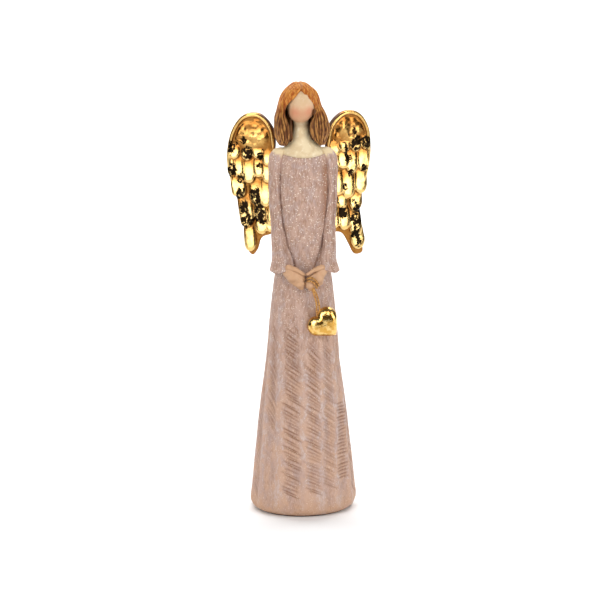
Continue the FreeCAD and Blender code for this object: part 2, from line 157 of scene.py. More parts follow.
def lattice_value(cells, seed):
    """A fixed random number from -1 to 1 for each whole-number cell, by integer hashing."""
    mixed = (cells[:, 0] * 73856093) ^ (cells[:, 1] * 19349663) ^ (cells[:, 2] * 83492791) ^ (seed * 7919)
    mixed = (mixed * 1103515245 + 12345) & 0x7FFFFFFF
    mixed = ((mixed >> 7) * 48271) & 0x7FFFFFFF
    return mixed / 0x7FFFFFFF * 2 - 1


def lumps(points, size, seed):
    """Smooth random heights from -1 to 1 whose bumps are about `size` mm apart."""
    scaled = np.asarray(points, float).reshape(-1, 3) / size
    cells = np.floor(scaled).astype(np.int64)
    share = scaled - cells
    share = share * share * (3 - 2 * share)
    total = np.zeros(len(scaled))
    for corner in np.ndindex(2, 2, 2):
        offset = np.array(corner)
        weight = np.prod(np.where(offset, share, 1 - share), axis=1)
        total += weight * lattice_value(cells + offset, seed)
    return total.reshape(np.shape(points)[:-1])


def unit(vectors):
    return vectors / np.maximum(np.linalg.norm(vectors, axis=-1, keepdims=True), 1e-9)


def grid_faces(rows, columns, closed):
    index = np.arange(rows * columns).reshape(rows, columns)
    ahead = np.roll(index, -1, axis=1) if closed else index[:, 1:]
    here = index if closed else index[:, :-1]
    return np.stack([here[:-1], ahead[:-1], ahead[1:], here[1:]], axis=-1).reshape(-1, 4)


class Skin:
    """Points in design millimetres and the faces between them, built up part by part."""

    def __init__(self):
        self.points = []
        self.faces = []
        self.count = 0

    def add(self, points, faces):
        points = np.asarray(points, float).reshape(-1, 3)
        self.points.append(points)
        self.faces.extend([tuple(int(i) + self.count for i in face) for face in faces])
        self.count += len(points)

    def tube(self, rings):
        """A closed skin through rings of points, with its two ends filled."""
        count, around = rings.shape[:2]
        faces = [tuple(face) for face in grid_faces(count, around, True)]
        faces.append(tuple(range(around))[::-1])
        faces.append(tuple(range((count - 1) * around, count * around)))
        self.add(rings, faces)

    def shell(self, outer, inner):
        """A closed skin between two open grids of the same size."""
        rows, columns = outer.shape[:2]
        faces = grid_faces(rows, columns, False)
        offset = rows * columns
        index = np.arange(offset).reshape(rows, columns)
        border = np.r_[index[0, :-1], index[:-1, -1], index[-1, :0:-1], index[:0:-1, 0]]
        around = np.roll(border, -1)
        rim = np.stack([border, border + offset, around + offset, around], axis=1)
        self.add(np.concatenate([outer.reshape(-1, 3), inner.reshape(-1, 3)]),
                 [*faces, *(faces[:, ::-1] + offset), *rim])

    def all_points(self):
        return np.concatenate(self.points)


def sweep(skin, line, up, half_widths, half_depths, around=16, squareness=1.0):
    """Adds a tube along a line: ovals whose depth lies along `up` and whose width lies across both.

    A squareness below 1 flattens the ovals' sides."""
    along = unit(np.gradient(line, axis=0))
    across = unit(np.cross(along, np.broadcast_to(np.asarray(up, float), line.shape)))
    up = np.cross(across, along)
    turn = np.linspace(0, 2 * math.pi, around, endpoint=False)
    wide = np.sign(np.cos(turn)) * np.abs(np.cos(turn)) ** squareness
    deep = np.sign(np.sin(turn)) * np.abs(np.sin(turn)) ** squareness
    skin.tube(line[:, None] + across[:, None] * (half_widths[:, None] * wide)[..., None]
              + up[:, None] * (half_depths[:, None] * deep)[..., None])


def rod(skin, start, end, start_radius, end_radius, flat=1.0):
    """Adds a rod with round ends between two points, `flat` times as deep as it is wide."""
    start = np.array(start, float)
    run = np.array(end, float) - start
    length = np.linalg.norm(run)
    turn = np.linspace(0, math.pi / 2, 6)
    places = np.r_[-start_radius * np.cos(turn), length + end_radius * np.sin(turn)]
    radii = np.maximum(np.r_[start_radius * np.sin(turn), end_radius * np.cos(turn)], 0.02)
    sweep(skin, start + run / length * places[:, None], FORWARD, radii, radii * flat, 14)


def unit_ball(around):
    """Rings of points round a ball of radius 1, from the bottom up."""
    turn = np.linspace(0, 2 * math.pi, around, endpoint=False)
    rise = np.linspace(-math.pi / 2 * 0.98, math.pi / 2 * 0.98, around // 2)[:, None]
    across = np.cos(rise)
    return np.stack(np.broadcast_arrays(across * np.cos(turn), across * np.sin(turn), np.sin(rise)), axis=-1)


def ball(skin, centre, radii, around=24):
    """Adds an oval ball."""
    skin.tube(unit_ball(around) * np.array(radii) + np.array(centre))


def mesh_from(name, points, faces):
    mesh = bpy.data.meshes.new(name)
    mesh.from_pydata(np.asarray(points) * MM, [], faces)
    mesh.validate()
    return mesh


def melt(skin, voxel, smoothing):
    """Joins the parts of a skin into one closed surface: points, normals and faces in millimetres."""
    mesh = mesh_from("melting", skin.all_points(), skin.faces)
    obj = bpy.data.objects.new("melting", mesh)
    bpy.context.scene.collection.objects.link(obj)
    remesh = obj.modifiers.new("join", "REMESH")
    remesh.mode = "VOXEL"
    remesh.voxel_size = voxel * MM
    soften = obj.modifiers.new("soften", "SMOOTH")
    soften.factor = 0.5
    soften.iterations = smoothing
    joined = bpy.data.meshes.new_from_object(obj.evaluated_get(bpy.context.evaluated_depsgraph_get()))
    points = np.empty(len(joined.vertices) * 3)
    joined.vertices.foreach_get("co", points)
    normals = np.empty(len(joined.vertices) * 3)
    joined.vertices.foreach_get("normal", normals)
    corners = np.empty(len(joined.loops), int)
    joined.loops.foreach_get("vertex_index", corners)
    bpy.data.objects.remove(obj)
    bpy.data.meshes.remove(mesh)
    bpy.data.meshes.remove(joined)
    return points.reshape(-1, 3) / MM, normals.reshape(-1, 3), corners.reshape(-1, 4)


def piece(name, points, faces, material, replaced, marks=None):
    """Makes a finished piece that stands for CAD nodes; marks are numbers per point for its paint."""
    mesh = mesh_from(name, points, faces)
    for mark, values in (marks or {}).items():
        layer = mesh.attributes.new(mark, "FLOAT", "POINT")
        layer.data.foreach_set("value", np.asarray(values, np.float32).ravel())
    mesh.shade_smooth()
    mesh.materials.append(material)
    obj = bpy.data.objects.new(name, mesh)
    bpy.context.scene.collection.objects.link(obj)
    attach(obj, BODY)
    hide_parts(*replaced)
    return obj


# ---------------------------------------------------------------- paints

def tint(red, green, blue):
    """A colour given as screen values from 0 to 255."""
    def linear(value):
        value = value / 255
        return value / 12.92 if value <= 0.04045 else ((value + 0.055) / 1.055) ** 2.4
    return (linear(red), linear(green), linear(blue), 1)


class Paint:
    """A procedural material: short names for the nodes that its recipe needs.

    A recipe sets the first colour, lays coats over it and ends with done()."""

    def __init__(self, name, **sockets):
        self.material = bpy.data.materials.new(name)
        self.material.use_nodes = True
        self.tree = self.material.node_tree
        self.shader = self.tree.nodes["Principled BSDF"]
        for socket, value in sockets.items():
            self.shader.inputs[socket.replace("_", " ")].default_value = value
        coordinates = self.tree.nodes.new("ShaderNodeTexCoord").outputs["Object"]
        self.place = self.stretched(coordinates, (1 / MM, 1 / MM, 1 / MM))
        self.colour = None

    def stretched(self, vector, scale):
        node = self.tree.nodes.new("ShaderNodeVectorMath")
        node.operation = "MULTIPLY"
        self.tree.links.new(vector, node.inputs[0])
        node.inputs[1].default_value = scale
        return node.outputs[0]

    def plug(self, socket, value):
        if isinstance(value, bpy.types.NodeSocket):
            self.tree.links.new(value, socket)
        else:
            socket.default_value = value

    def noise(self, size, detail=2.0, stretch=(1, 1, 1), twist=0.0):
        """Noise from 0 to 1 whose blotches are about `size` mm, longer along a stretched axis."""
        node = self.tree.nodes.new("ShaderNodeTexNoise")
        self.plug(node.inputs["Vector"], self.stretched(self.place, [1 / s for s in stretch]))
        node.inputs["Scale"].default_value = 1 / size
        node.inputs["Detail"].default_value = detail
        node.inputs["Distortion"].default_value = twist
        return node.outputs[0]

    def cells(self, size):
        """Distance to the nearest of many scattered points, about `size` mm apart."""
        node = self.tree.nodes.new("ShaderNodeTexVoronoi")
        self.plug(node.inputs["Vector"], self.place)
        node.inputs["Scale"].default_value = 1 / size
        return node.outputs["Distance"]

    def mark(self, name):
        node = self.tree.nodes.new("ShaderNodeAttribute")
        node.attribute_name = name
        return node.outputs["Fac"]

    def height(self):
        node = self.tree.nodes.new("ShaderNodeSeparateXYZ")
        self.plug(node.inputs[0], self.place)
        return node.outputs["Z"]

    def calc(self, operation, first, second):
        node = self.tree.nodes.new("ShaderNodeMath")
        node.operation = operation
        self.plug(node.inputs[0], first)
        self.plug(node.inputs[1], second)
        return node.outputs[0]

    def times(self, first, *others):
        for other in others:
            first = self.calc("MULTIPLY", first, other)
        return first

    def span(self, value, low, high, start=0.0, end=1.0):
        """Value carried from low..high to start..end, and held there outside."""
        node = self.tree.nodes.new("ShaderNodeMapRange")
        node.interpolation_type = "SMOOTHSTEP"
        for socket, setting in zip(node.inputs, (value, low, high, start, end)):
            self.plug(socket, setting)
        return node.outputs[0]

    def mix(self, first, second, share):
        node = self.tree.nodes.new("ShaderNodeMix")
        node.data_type = "RGBA"
        self.plug(node.inputs[0], share)
        self.plug(node.inputs[6], first)
        self.plug(node.inputs[7], second)
        return node.outputs[2]

    def dapple(self, first, second, pattern, low, high):
        """The first colour where a pattern is under low, the second where it is over high."""
        return self.mix(first, second, self.span(pattern, low, high))

    def coat(self, colour, share):
        self.colour = self.mix(self.colour, colour, share)

    def rough(self, value):
        self.plug(self.shader.inputs["Roughness"], value)

    def mottle(self, pattern, smooth, rough):
        """Roughness that wanders with a pattern."""
        self.rough(self.span(pattern, 0.3, 0.7, smooth, rough))

    def bump(self, height, depth, strength=1.0):
        """Fine relief on top of what is there, `depth` mm from its lowest to its highest."""
        node = self.tree.nodes.new("ShaderNodeBump")
        node.inputs["Strength"].default_value = strength
        node.inputs["Distance"].default_value = depth * MM
        self.plug(node.inputs["Height"], height)
        socket = self.shader.inputs["Normal"]
        if socket.is_linked:
            self.plug(node.inputs["Normal"], socket.links[0].from_socket)
        self.plug(socket, node.outputs[0])

    def done(self):
        self.plug(self.shader.inputs["Base Color"], self.colour)
        return self.material


def gown_paint():
    """Rose-beige distress paint: brown wash in the cuts, lilac dry brush on the folds, and glitter, with painted
    shade where the sleeves meet the body and beside the left sleeve.
    """
    paint = Paint("gown_paint", Specular_IOR_Level=0.3)
    level = paint.height()
    low = paint.span(level, 60, 165, 1, 0)
    blotch = paint.noise(8, 3, (1, 1, 1.8), 0.6)
    patch = paint.noise(5.5, 3, (1, 1, 1.6), 0.8)
    streak = paint.noise(0.9, 3, (1, 1, 3.4), 0.8)
    hatch = paint.noise(1.3, 3, (1, 1, 3.2), 1.2)
    ridge = paint.mark("ridge")
    bare = paint.mark("bare")
    rose = paint.dapple(tint(186, 155, 140), tint(164, 132, 118), patch, 0.42, 0.6)
    tan = paint.dapple(tint(192, 156, 133), tint(184, 147, 124), patch, 0.4, 0.6)
    paint.colour = rose
    paint.coat(tan, paint.times(paint.span(low, 0, 1, 0.25, 1), paint.span(blotch, 0.36, 0.6)))
    streaks = paint.calc("ADD", 0.45, paint.times(paint.span(streak, 0.44, 0.62), 0.55))
    dry_brush = paint.times(paint.span(patch, 0.44, 0.62, 0.12, 0.95), paint.span(ridge, 0, 1, 0.35, 0.9),
                            streaks)
    paint.coat(tint(202, 185, 180), dry_brush)
    hem = paint.times(paint.span(level, 3, 16, 0.7, 0), paint.span(blotch, 0.35, 0.55, 0.5, 1))
    paint.coat(tint(188, 148, 118), hem)
    dark_patches = paint.times(paint.span(hatch, 0.5, 0.64), paint.span(ridge, 0, 0.8, 0.75, 0.25),
                       paint.span(low, 0, 1, 1, 0.5))
    paint.coat(tint(150, 110, 84), dark_patches)
    # Painted shade beside the left sleeve.
    paint.coat(tint(150, 104, 76), paint.times(paint.mark("side_shade"), 0.75))
    paint.coat(tint(124, 84, 60), paint.times(paint.mark("groove"), 0.9))
    # Painted shade where the sleeves meet the body and inside the cuffs.
    broken = paint.span(paint.noise(8, 2), 0.42, 0.6, 0.15, 1)
    paint.coat(tint(92, 64, 54), paint.times(paint.mark("crease_and_shade"), broken))
    paint.coat(tint(226, 204, 164), bare)
    sparkle = paint.times(paint.calc("LESS_THAN", paint.cells(1.1), 0.25),
                          paint.span(paint.noise(2.0, 1), 0.47, 0.54), paint.span(level, 110, 175, 0.3, 1),
                          paint.span(bare, 0, 0.5, 1, 0))
    paint.coat(tint(250, 238, 220), sparkle)
    paint.rough(paint.span(sparkle, 0, 1, 0.62, 0.22))
    paint.bump(streak, 0.18, 0.6)
    paint.bump(paint.noise(0.9, 3, twist=1.0), 0.12, 0.6)
    return paint.done()


def skin_paint():
    """Cream antique paint with blush on the cheeks and painted shade in ochre in the hollows."""
    paint = Paint("skin_paint", Specular_IOR_Level=0.4)
    paint.colour = paint.dapple(tint(231, 211, 172), tint(219, 194, 152), paint.noise(5, 3), 0.38, 0.66)
    paint.coat(tint(244, 230, 204), paint.span(paint.noise(2.2, 2), 0.54, 0.72, 0, 0.6))
    paint.coat(tint(196, 150, 114), paint.mark("tan"))
    paint.coat(tint(204, 128, 92), paint.mark("blush"))
    # Painted shade: ochre under the chin, down the neck, along the neckline and in the hands' gaps and undersides.
    paint.coat(tint(134, 92, 56), paint.mark("hollow_shade"))
    paint.mottle(paint.noise(1.5, 2), 0.34, 0.5)
    paint.bump(paint.noise(0.7, 3), 0.05, 0.5)
    return paint.done()


def hair_paint():
    """Copper on top, gold-brown strands below, deep brown in the cuts, and painted shade beside the face, behind
    the neck and on the hair's inner face.
    """
    paint = Paint("hair_paint", Specular_IOR_Level=0.25)
    top = paint.span(paint.height(), 274, 289)
    strand = paint.noise(1.3, 3, (1, 1, 4), 0.4)
    copper = paint.dapple(tint(172, 88, 24), tint(214, 144, 62), strand, 0.38, 0.62)
    paint.colour = paint.dapple(tint(104, 56, 22), tint(194, 136, 70), strand, 0.4, 0.62)
    paint.coat(copper, top)
    paint.coat(tint(50, 22, 8), paint.times(paint.mark("groove"), paint.span(top, 0, 1, 1, 0.6)))
    # Painted shade beside the face, behind the neck and on the hair's inner face.
    paint.coat(tint(98, 62, 34), paint.mark("shade"))
    paint.mottle(strand, 0.36, 0.5)
    paint.bump(strand, 0.08, 0.6)
    return paint.done()


def gold_leaf():
    """Gold leaf with a brown glaze in the hollows and painted shade on the feathers' sides, a painted highlight on
    the feathers' fronts, and flecks and patches painted black as dark reflections.
    """
    paint = Paint("gold_leaf", Metallic=1.0)
    wrinkle = paint.noise(1.6, 3, twist=1.0)
    edge = paint.mark("edge")
    patch = paint.noise(4.5, 3, twist=0.8)
    paint.colour = paint.dapple(tint(218, 172, 96), tint(178, 128, 62), patch, 0.38, 0.62)
    # Painted highlight: a pale gold on the fronts of the feathers' tops.
    paint.coat(tint(236, 198, 126), paint.mark("crown"))
    # Brown glaze in the hollows between the feathers, with painted shade on the feathers' sides and in the
    # crumples.
    paint.coat(tint(140, 86, 34), paint.times(paint.mark("hollow_shade"), 0.8))
    # Black flecks and patches painted as dark reflections on the leaf.
    grain = paint.calc("ADD", paint.times(paint.noise(3.2, 5, twist=1.0), 0.6),
                       paint.times(paint.noise(1.0, 4, twist=1.5), 0.4))
    reflection_flecks = paint.span(paint.calc("SUBTRACT", paint.mark("dark_patches"), grain), 0.0, 0.03)
    paint.coat(tint(30, 21, 12), reflection_flecks)
    paint.coat(tint(98, 74, 62), edge)
    shine = paint.span(wrinkle, 0.3, 0.7, 0.12, 0.28)
    shine = paint.calc("MAXIMUM", shine, paint.times(reflection_flecks, 0.4))
    paint.rough(paint.calc("MAXIMUM", shine, paint.times(edge, 0.5)))
    paint.bump(wrinkle, 0.1, 0.5)
    paint.bump(paint.noise(0.5, 2), 0.03, 0.5)
    return paint.done()


def polished_gold():
    """Mirror-bright gold with soft dents."""
    paint = Paint("polished_gold", Metallic=1.0)
    paint.colour = paint.dapple(tint(240, 204, 130), tint(216, 164, 78), paint.noise(3, 3), 0.4, 0.6)
    paint.mottle(paint.noise(2, 2), 0.06, 0.2)
    paint.bump(paint.noise(2.4, 3, twist=1.0), 0.3, 0.7)
    return paint.done()


def cord_gilding():
    """Brushed gilding over a cast cord."""
    paint = Paint("cord_gilding", Metallic=0.6)
    paint.colour = paint.dapple(tint(198, 150, 86), tint(160, 108, 56), paint.noise(1.2, 2), 0.4, 0.6)
    paint.mottle(paint.noise(0.8, 2), 0.25, 0.45)
    paint.bump(paint.noise(0.4, 2), 0.05, 0.6)
    return paint.done()


def felt():
    paint = Paint("felt", Roughness=1.0, Specular_IOR_Level=0.1)
    fuzz = paint.noise(0.35, 4)
    paint.colour = paint.dapple(tint(46, 38, 34), tint(84, 72, 64), fuzz, 0.3, 0.7)
    paint.bump(fuzz, 0.25)
    return paint.done()


def plug_resin():
    paint = Paint("plug_resin")
    paint.colour = paint.dapple(tint(222, 214, 200), tint(196, 186, 170), paint.noise(6, 3), 0.4, 0.65)
    paint.mottle(paint.noise(1.4, 3), 0.45, 0.7)
    paint.bump(paint.noise(0.8, 3), 0.08)
    return paint.done()


def steel():
    paint = Paint("steel", Metallic=1.0)
    scratches = paint.noise(0.3, 2, (1, 8, 1))
    paint.colour = paint.mix(tint(170, 172, 176), tint(120, 122, 126), scratches)
    paint.mottle(scratches, 0.25, 0.45)
    paint.bump(scratches, 0.02)
    return paint.done()


# ---------------------------------------------------------------- gown

GOWN_HALF_WIDTH = half_size("gown")[0]
GOWN_HALF_DEPTH = half_size("gown")[1]
GOWN_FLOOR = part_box("gown")[0].z / MM
# Level as a share of the height, half width and half depth as shares of the gown's.
TORSO = np.array((
    (0.004, 0.907, 0.890), (0.010, 0.967, 0.962), (0.0233, 1, 1), (0.060, 0.970, 0.971),
    (0.160, 0.881, 0.892), (0.257, 0.797, 0.815), (0.353, 0.691, 0.726), (0.447, 0.621, 0.646),
    (0.530, 0.558, 0.567), (0.600, 0.488, 0.490), (0.683, 0.461, 0.439), (0.767, 0.504, 0.446),
    (0.810, 0.493, 0.414), (0.837, 0.447, 0.350), (0.857, 0.312, 0.268), (0.872, 0.200, 0.210),
    (0.887, 0.149, 0.172), (0.900, 0.141, 0.162), (0.927, 0.146, 0.166),
))
# How far the neck drifts from the middle: level, x, y.
NECK_DRIFT = np.array((
    (0, 0, 0), (251, 0, 0), (257, -0.5, 0), (261.5, -1, 0), (266, -1.4, -0.5), (278, -1.6, -1),
))
# The neckline is an arc of this radius, seen from the front, whose lowest point is at this level.
NECKLINE_RADIUS = 52
NECKLINE_LEVEL = 249
# Rows of the gown's grid are level up to the yoke and follow the neckline more and more above it.
YOKE_LEVEL = 228
COLLAR_LEVEL = 254
# The folds run from the hem to the waist: angle from the front at the hem and at the top, in degrees.
FOLDS = (
    (-165, -170), (-135, -145), (-108, -122), (-84, -100), (-60, -78), (-33, -52), (-2, -4),
    (16, 30), (37, 60), (62, 82), (88, 104), (115, 128), (145, 150), (172, 172),
)
FOLD_TOP = 178
# How high the folds stand: level, share of their full height.
FOLD_RISE = np.array(((2, 0.3), (12, 0.95), (60, 0.95), (120, 0.75), (155, 0.4), (FOLD_TOP, 0)))
# Hatching by panel, each panel to the left of the fold of the same number: the strokes' fall to the
# right in degrees at the bottom and at the top, its lowest and highest level, and its strength.
HATCHING = (
    (35, 50, 12, 120, 0.8), (-30, -45, 14, 130, 0.8), (40, 50, 12, 115, 0.8), (30, 45, 14, 100, 0.6),
    (40, 50, 14, 96, 0.5), (42, 52, 62, 130, 0.6), (22, 34, 16, 132, 1.0), (22, 48, 18, 122, 0.85),
    (30, 45, 22, 118, 0.6), (1, 4, 26, 78, 1.0), (35, 50, 14, 116, 0.7), (-30, -45, 14, 126, 0.8),
    (35, 50, 12, 120, 0.8), (-30, -45, 14, 120, 0.8),
)
DEEPEST_HATCH = 0.46


def torso(levels):
    """Centre x, centre y, half width and half depth of the torso at these levels."""
    size = ease(TORSO[:, 0] * DESIGN_HEIGHT, TORSO[:, 1:], levels)
    centre = ease(NECK_DRIFT[:, 0], NECK_DRIFT[:, 1:], levels)
    return centre[..., 0], centre[..., 1], size[..., 0] * GOWN_HALF_WIDTH, size[..., 1] * GOWN_HALF_DEPTH


def torso_points(turn, levels, inward=0.0):
    x, y, half_width, half_depth = torso(levels)
    return np.stack([x + (half_width - inward) * np.sin(turn), y - (half_depth - inward) * np.cos(turn),
                     levels + 0 * turn], axis=-1)


def neckline_at(x):
    """Level of the neckline where it crosses x."""
    return NECKLINE_LEVEL + NECKLINE_RADIUS - np.sqrt(np.maximum(NECKLINE_RADIUS ** 2 - x * x, 1))


def neckline(turn):
    """Level of the neckline at each angle round the torso."""
    level = np.full_like(turn, 252.0)
    for _ in range(12):
        level = neckline_at(torso_points(turn, level)[..., 0])
    return level


def engrave(cut, turn, levels, radius, start, end, half_width, depth):
    """Deepens a stroke between two (angle, level) ends on a grid of cuts, tapered at its ends."""
    low, high = sorted((start[1], end[1]))
    rows = np.flatnonzero((levels > low - 1) & (levels < high + 1))
    reach = 1.2 / radius
    left, right = sorted((start[0], end[0]))
    columns = np.flatnonzero((turn > left - reach) & (turn < right + reach))
    if not len(rows) or not len(columns):
        return
    across = (turn[columns] - start[0])[None] * radius
    up = (levels[rows] - start[1])[:, None]
    direction = np.array([(end[0] - start[0]) * radius, end[1] - start[1]])
    length = np.linalg.norm(direction)
    direction = direction / length
    along = np.clip((across * direction[0] + up * direction[1]) / length, 0, 1)
    away = np.hypot(across - along * length * direction[0], up - along * length * direction[1])
    taper = np.sin(math.pi * np.clip(along * 0.92 + 0.04, 0, 1)) ** 0.5
    stroke = depth * taper * bell(away, 0, half_width)
    window = np.ix_(rows, columns)
    cut[window] = np.maximum(cut[window], stroke)


def scratch(cut, turn, levels, radius, count, lowest, longest, lean_spread, half_widths, depths):
    """Engraves fine strokes at random, which run down the cloth."""
    for _ in range(count):
        level = RANDOM.uniform(lowest, 250)
        angle = RANDOM.uniform(-math.pi, math.pi)
        length = RANDOM.uniform(3, longest)
        lean = RANDOM.normal(0, lean_spread)
        engrave(cut, turn, levels, radius, (angle, level), (angle + length * lean / radius, level - length),
                RANDOM.uniform(*half_widths), RANDOM.uniform(*depths))


def fold_angles(levels):
    folds = np.radians(FOLDS)
    share = smoothstep(10, FOLD_TOP, levels)[..., None]
    return folds[:, 0] * (1 - share) + folds[:, 1] * share


def hatch_panel(cut, turn, levels, left_edge, right_edge, panel):
    """Engraves one panel's slanted strokes, from the bottom up, between its two folds."""
    fall_low, fall_high, bottom, top, strength = panel
    level = float(bottom)
    while level < top:
        share = (level - bottom) / (top - bottom)
        row = int(np.argmin(abs(levels - level)))
        left = left_edge[row]
        right = right_edge[row]
        size = np.interp(level / DESIGN_HEIGHT, TORSO[:, 0], TORSO[:, 1])
        radius = (GOWN_HALF_WIDTH + GOWN_HALF_DEPTH) / 2 * size
        fall = math.radians(fall_low + (fall_high - fall_low) * share + RANDOM.normal(0, 2))
        width = (right - left) * radius
        half = min(width * 0.95 / max(math.cos(fall), 0.35), RANDOM.uniform(9, 13)) / 2
        centre = (left + right) / 2 + RANDOM.normal(0, 0.06) * (right - left)
        start = centre - half * math.cos(fall) / radius
        end = centre + half * math.cos(fall) / radius
        drop = half * math.sin(fall)
        depth = strength * RANDOM.uniform(0.3, 0.6)
        for shift in (0, 2 * math.pi):
            engrave(cut, turn, levels, radius, (start + shift, level + drop), (end + shift, level - drop),
                    RANDOM.uniform(0.44, 0.56), depth)
        level += RANDOM.uniform(2.1, 2.7)


def gown_cuts(turn, levels):
    """Depth of the engraved strokes over the gown's grid, in millimetres."""
    cut = np.zeros((len(levels), len(turn)))
    folds = fold_angles(levels)
    for number, panel in enumerate(HATCHING):
        full_turn = 2 * math.pi if number == 0 else 0
        hatch_panel(cut, turn, levels, folds[:, number - 1] - full_turn, folds[:, number], panel)
    scratch(cut, turn, levels, 16.5, 1500, 100, 8, 0.16, (0.25, 0.4), (0.08, 0.22))
    return cut


def beyond_oval(x, y, section):
    """How far points lie outside an oval section, as a share of its size."""
    centre_x, centre_y, half_width, half_depth = section
    return np.hypot((x - centre_x) / half_width, (y - centre_y) / half_depth) - 1


def touching(gap):
    """1 where a gap in millimetres is closed, fading to 0 about a millimetre away."""
    return bell(np.maximum(gap, 0), 0, 0.9)


def sleeve_crease(points):
    """How close points lie to the sleeves' skins: 1 where a sleeve meets the body, 0 away from it."""
    section = sleeve_section(np.clip(points[..., 2], SLEEVE[0, 0], SLEEVE[-1, 0]))
    outside = beyond_oval(np.abs(points[..., 0]), points[..., 1], section)
    return touching(outside * section[2]) * between(170, 176, 238, 248, points[..., 2])


def shade_beside_sleeve(points):
    """Painted shade in brown on the body beside the left sleeve."""
    beside = bell(points[..., 0], 14.5, 3.2) * smoothstep(0, -4, points[..., 1])
    return beside * between(200, 212, 240, 250, points[..., 2])


def gown_turn():
    """Angles round the gown, 0 at the front, finer over the front half than over the back."""
    quarter = math.pi / 2
    turn = np.concatenate([np.linspace(-quarter, quarter, 256, endpoint=False),
                           np.linspace(quarter, 3 * quarter, 96, endpoint=False)])
    return np.sort(np.where(turn > math.pi, turn - 2 * math.pi, turn))


def fold_ridges(turn, levels, points):
    """1 along the folds, 0 away from them."""
    radius = np.hypot(points[..., 0], points[..., 1])
    gap = turn[..., None] - fold_angles(levels)[:, None]
    gap = (gap + math.pi) % (2 * math.pi) - math.pi
    nearest = np.min(np.abs(gap) * radius[..., None], axis=-1)
    return bell(nearest, 0, 3.4 + lumps(points, 26, 3) * 0.65)


def make_gown(material):
    turn = gown_turn()
    levels = np.concatenate([[GOWN_FLOOR, 1.9, 3, 4.6], np.arange(6.4, 132, 0.66),
                             np.arange(132.5, 250, 1.75), [251, 252.4, 253.4, COLLAR_LEVEL]])
    top = neckline(turn)
    grid_turn = np.broadcast_to(turn, (len(levels), len(turn)))
    share = np.clip((levels - YOKE_LEVEL) / (COLLAR_LEVEL - YOKE_LEVEL), 0, 1)[:, None]
    grid_level = np.where(share > 0, YOKE_LEVEL + share * (top - YOKE_LEVEL), levels[:, None])
    points = torso_points(grid_turn, grid_level)
    outward = unit(points * (1, 1.25, 0) + 1e-9)
    ridge = fold_ridges(grid_turn, levels, points)
    cut = gown_cuts(turn, levels)
    crease_and_shade = sleeve_crease(points)
    rise = ease(FOLD_RISE[:, 0], FOLD_RISE[:, 1], np.minimum(levels, FOLD_TOP))
    height = rise * (ridge * 1.25 - 0.55)
    height += lumps(points * (1, 1, 0.35), 7, 5) * 0.28 + lumps(points * (1, 1, 0.6), 2.6, 6) * 0.09
    fade = smoothstep(0, 3.0, top - grid_level) * smoothstep(2, 7, grid_level)
    height = height * fade - cut * smoothstep(4, 9, grid_level) - crease_and_shade * 0.45 * fade
    points = points + outward * height[..., None]
    floor = np.full_like(turn, GOWN_FLOOR)
    plug = half_size("bottom_plug")
    plug_hole = np.stack([plug[0] * np.sin(turn), -plug[1] * np.cos(turn), floor], -1)
    foot = [plug_hole + (0, 0, 4.2), plug_hole, torso_points(turn, floor, 1.6)]
    collar = [torso_points(turn, top + lift, inward)
              for lift, inward in ((0.12, 0.35), (0, 0.9), (-3.5, 1.6))]
    skin = Skin()
    skin.tube(np.concatenate([foot, points, collar]))
    blank = np.zeros((len(foot), len(turn)))
    marks = {
        "groove": np.clip(cut / DEEPEST_HATCH, 0, 1),
        "ridge": np.clip(ridge * smoothstep(FOLD_TOP, 120, grid_level)
                         + 0.35 * smoothstep(120, FOLD_TOP, grid_level), 0, 1),
        # Painted shade where the sleeves meet the body and beside the left sleeve.
        "crease_and_shade": crease_and_shade * 0.5,
        "side_shade": shade_beside_sleeve(points),
    }
    marks = {mark: np.concatenate([blank, values, blank]) for mark, values in marks.items()}
    return piece("gown", skin.all_points(), skin.faces, material, ["gown"], marks)


# ---------------------------------------------------------------- sleeves

# The left sleeve's ovals from the cuff up: level, centre x, centre y, half width, half depth.
SLEEVE = np.array((
    (173, 16.2, -12.4, 9, 10.8), (180, 15.4, -9.8, 7.3, 9.4), (190, 16.8, -6, 5.6, 8.5),
    (205, 17.3, -1.5, 5.2, 7), (225, 18.3, 0, 5.4, 6.8), (240, 18.2, 0, 5.8, 7), (248.5, 17.6, 0, 6, 6.8),
    (252.5, 16.4, 0, 5, 5.6), (254.4, 15.4, 0, 4.0, 4.4), (255, 14.8, 0, 2.4, 3),
))
CUFF_LEVEL = SLEEVE[0, 0]
SHOULDER_LEVEL = SLEEVE[-1, 0]
CUFF_SLOPE = math.radians(17)
CUFF_WALL = 1.5
SLEEVE_RADIUS = 6.6
# Depth of the long groove down the front of each sleeve, as a share of the deepest.
FRONT_GROOVE = {"right": 0.15, "left": 0.5}


def sleeve_section(levels):
    """Centre x, centre y, half width and half depth of the left sleeve at these levels."""
    return np.moveaxis(ease(SLEEVE[:, 0], SLEEVE[:, 1:], levels), -1, 0)


def sleeve_ring(level, turn, inward):
    """One oval of the left sleeve, tipped more and more towards the cuff."""
    x, y, half_width, half_depth = sleeve_section(np.array([level]))
    across = (half_width - inward) * np.sin(turn)
    front = -(half_depth - inward) * np.cos(turn)
    near_rim = smoothstep(190, CUFF_LEVEL, level)
    tip = CUFF_SLOPE * near_rim
    curl = 2.2 * near_rim * smoothstep(0.25, 1.1, np.sin(turn)) ** 1.5
    return np.stack([x + across * math.cos(tip) - 0.3 * curl, y + front,
                     level - across * math.sin(tip) + curl], axis=-1)


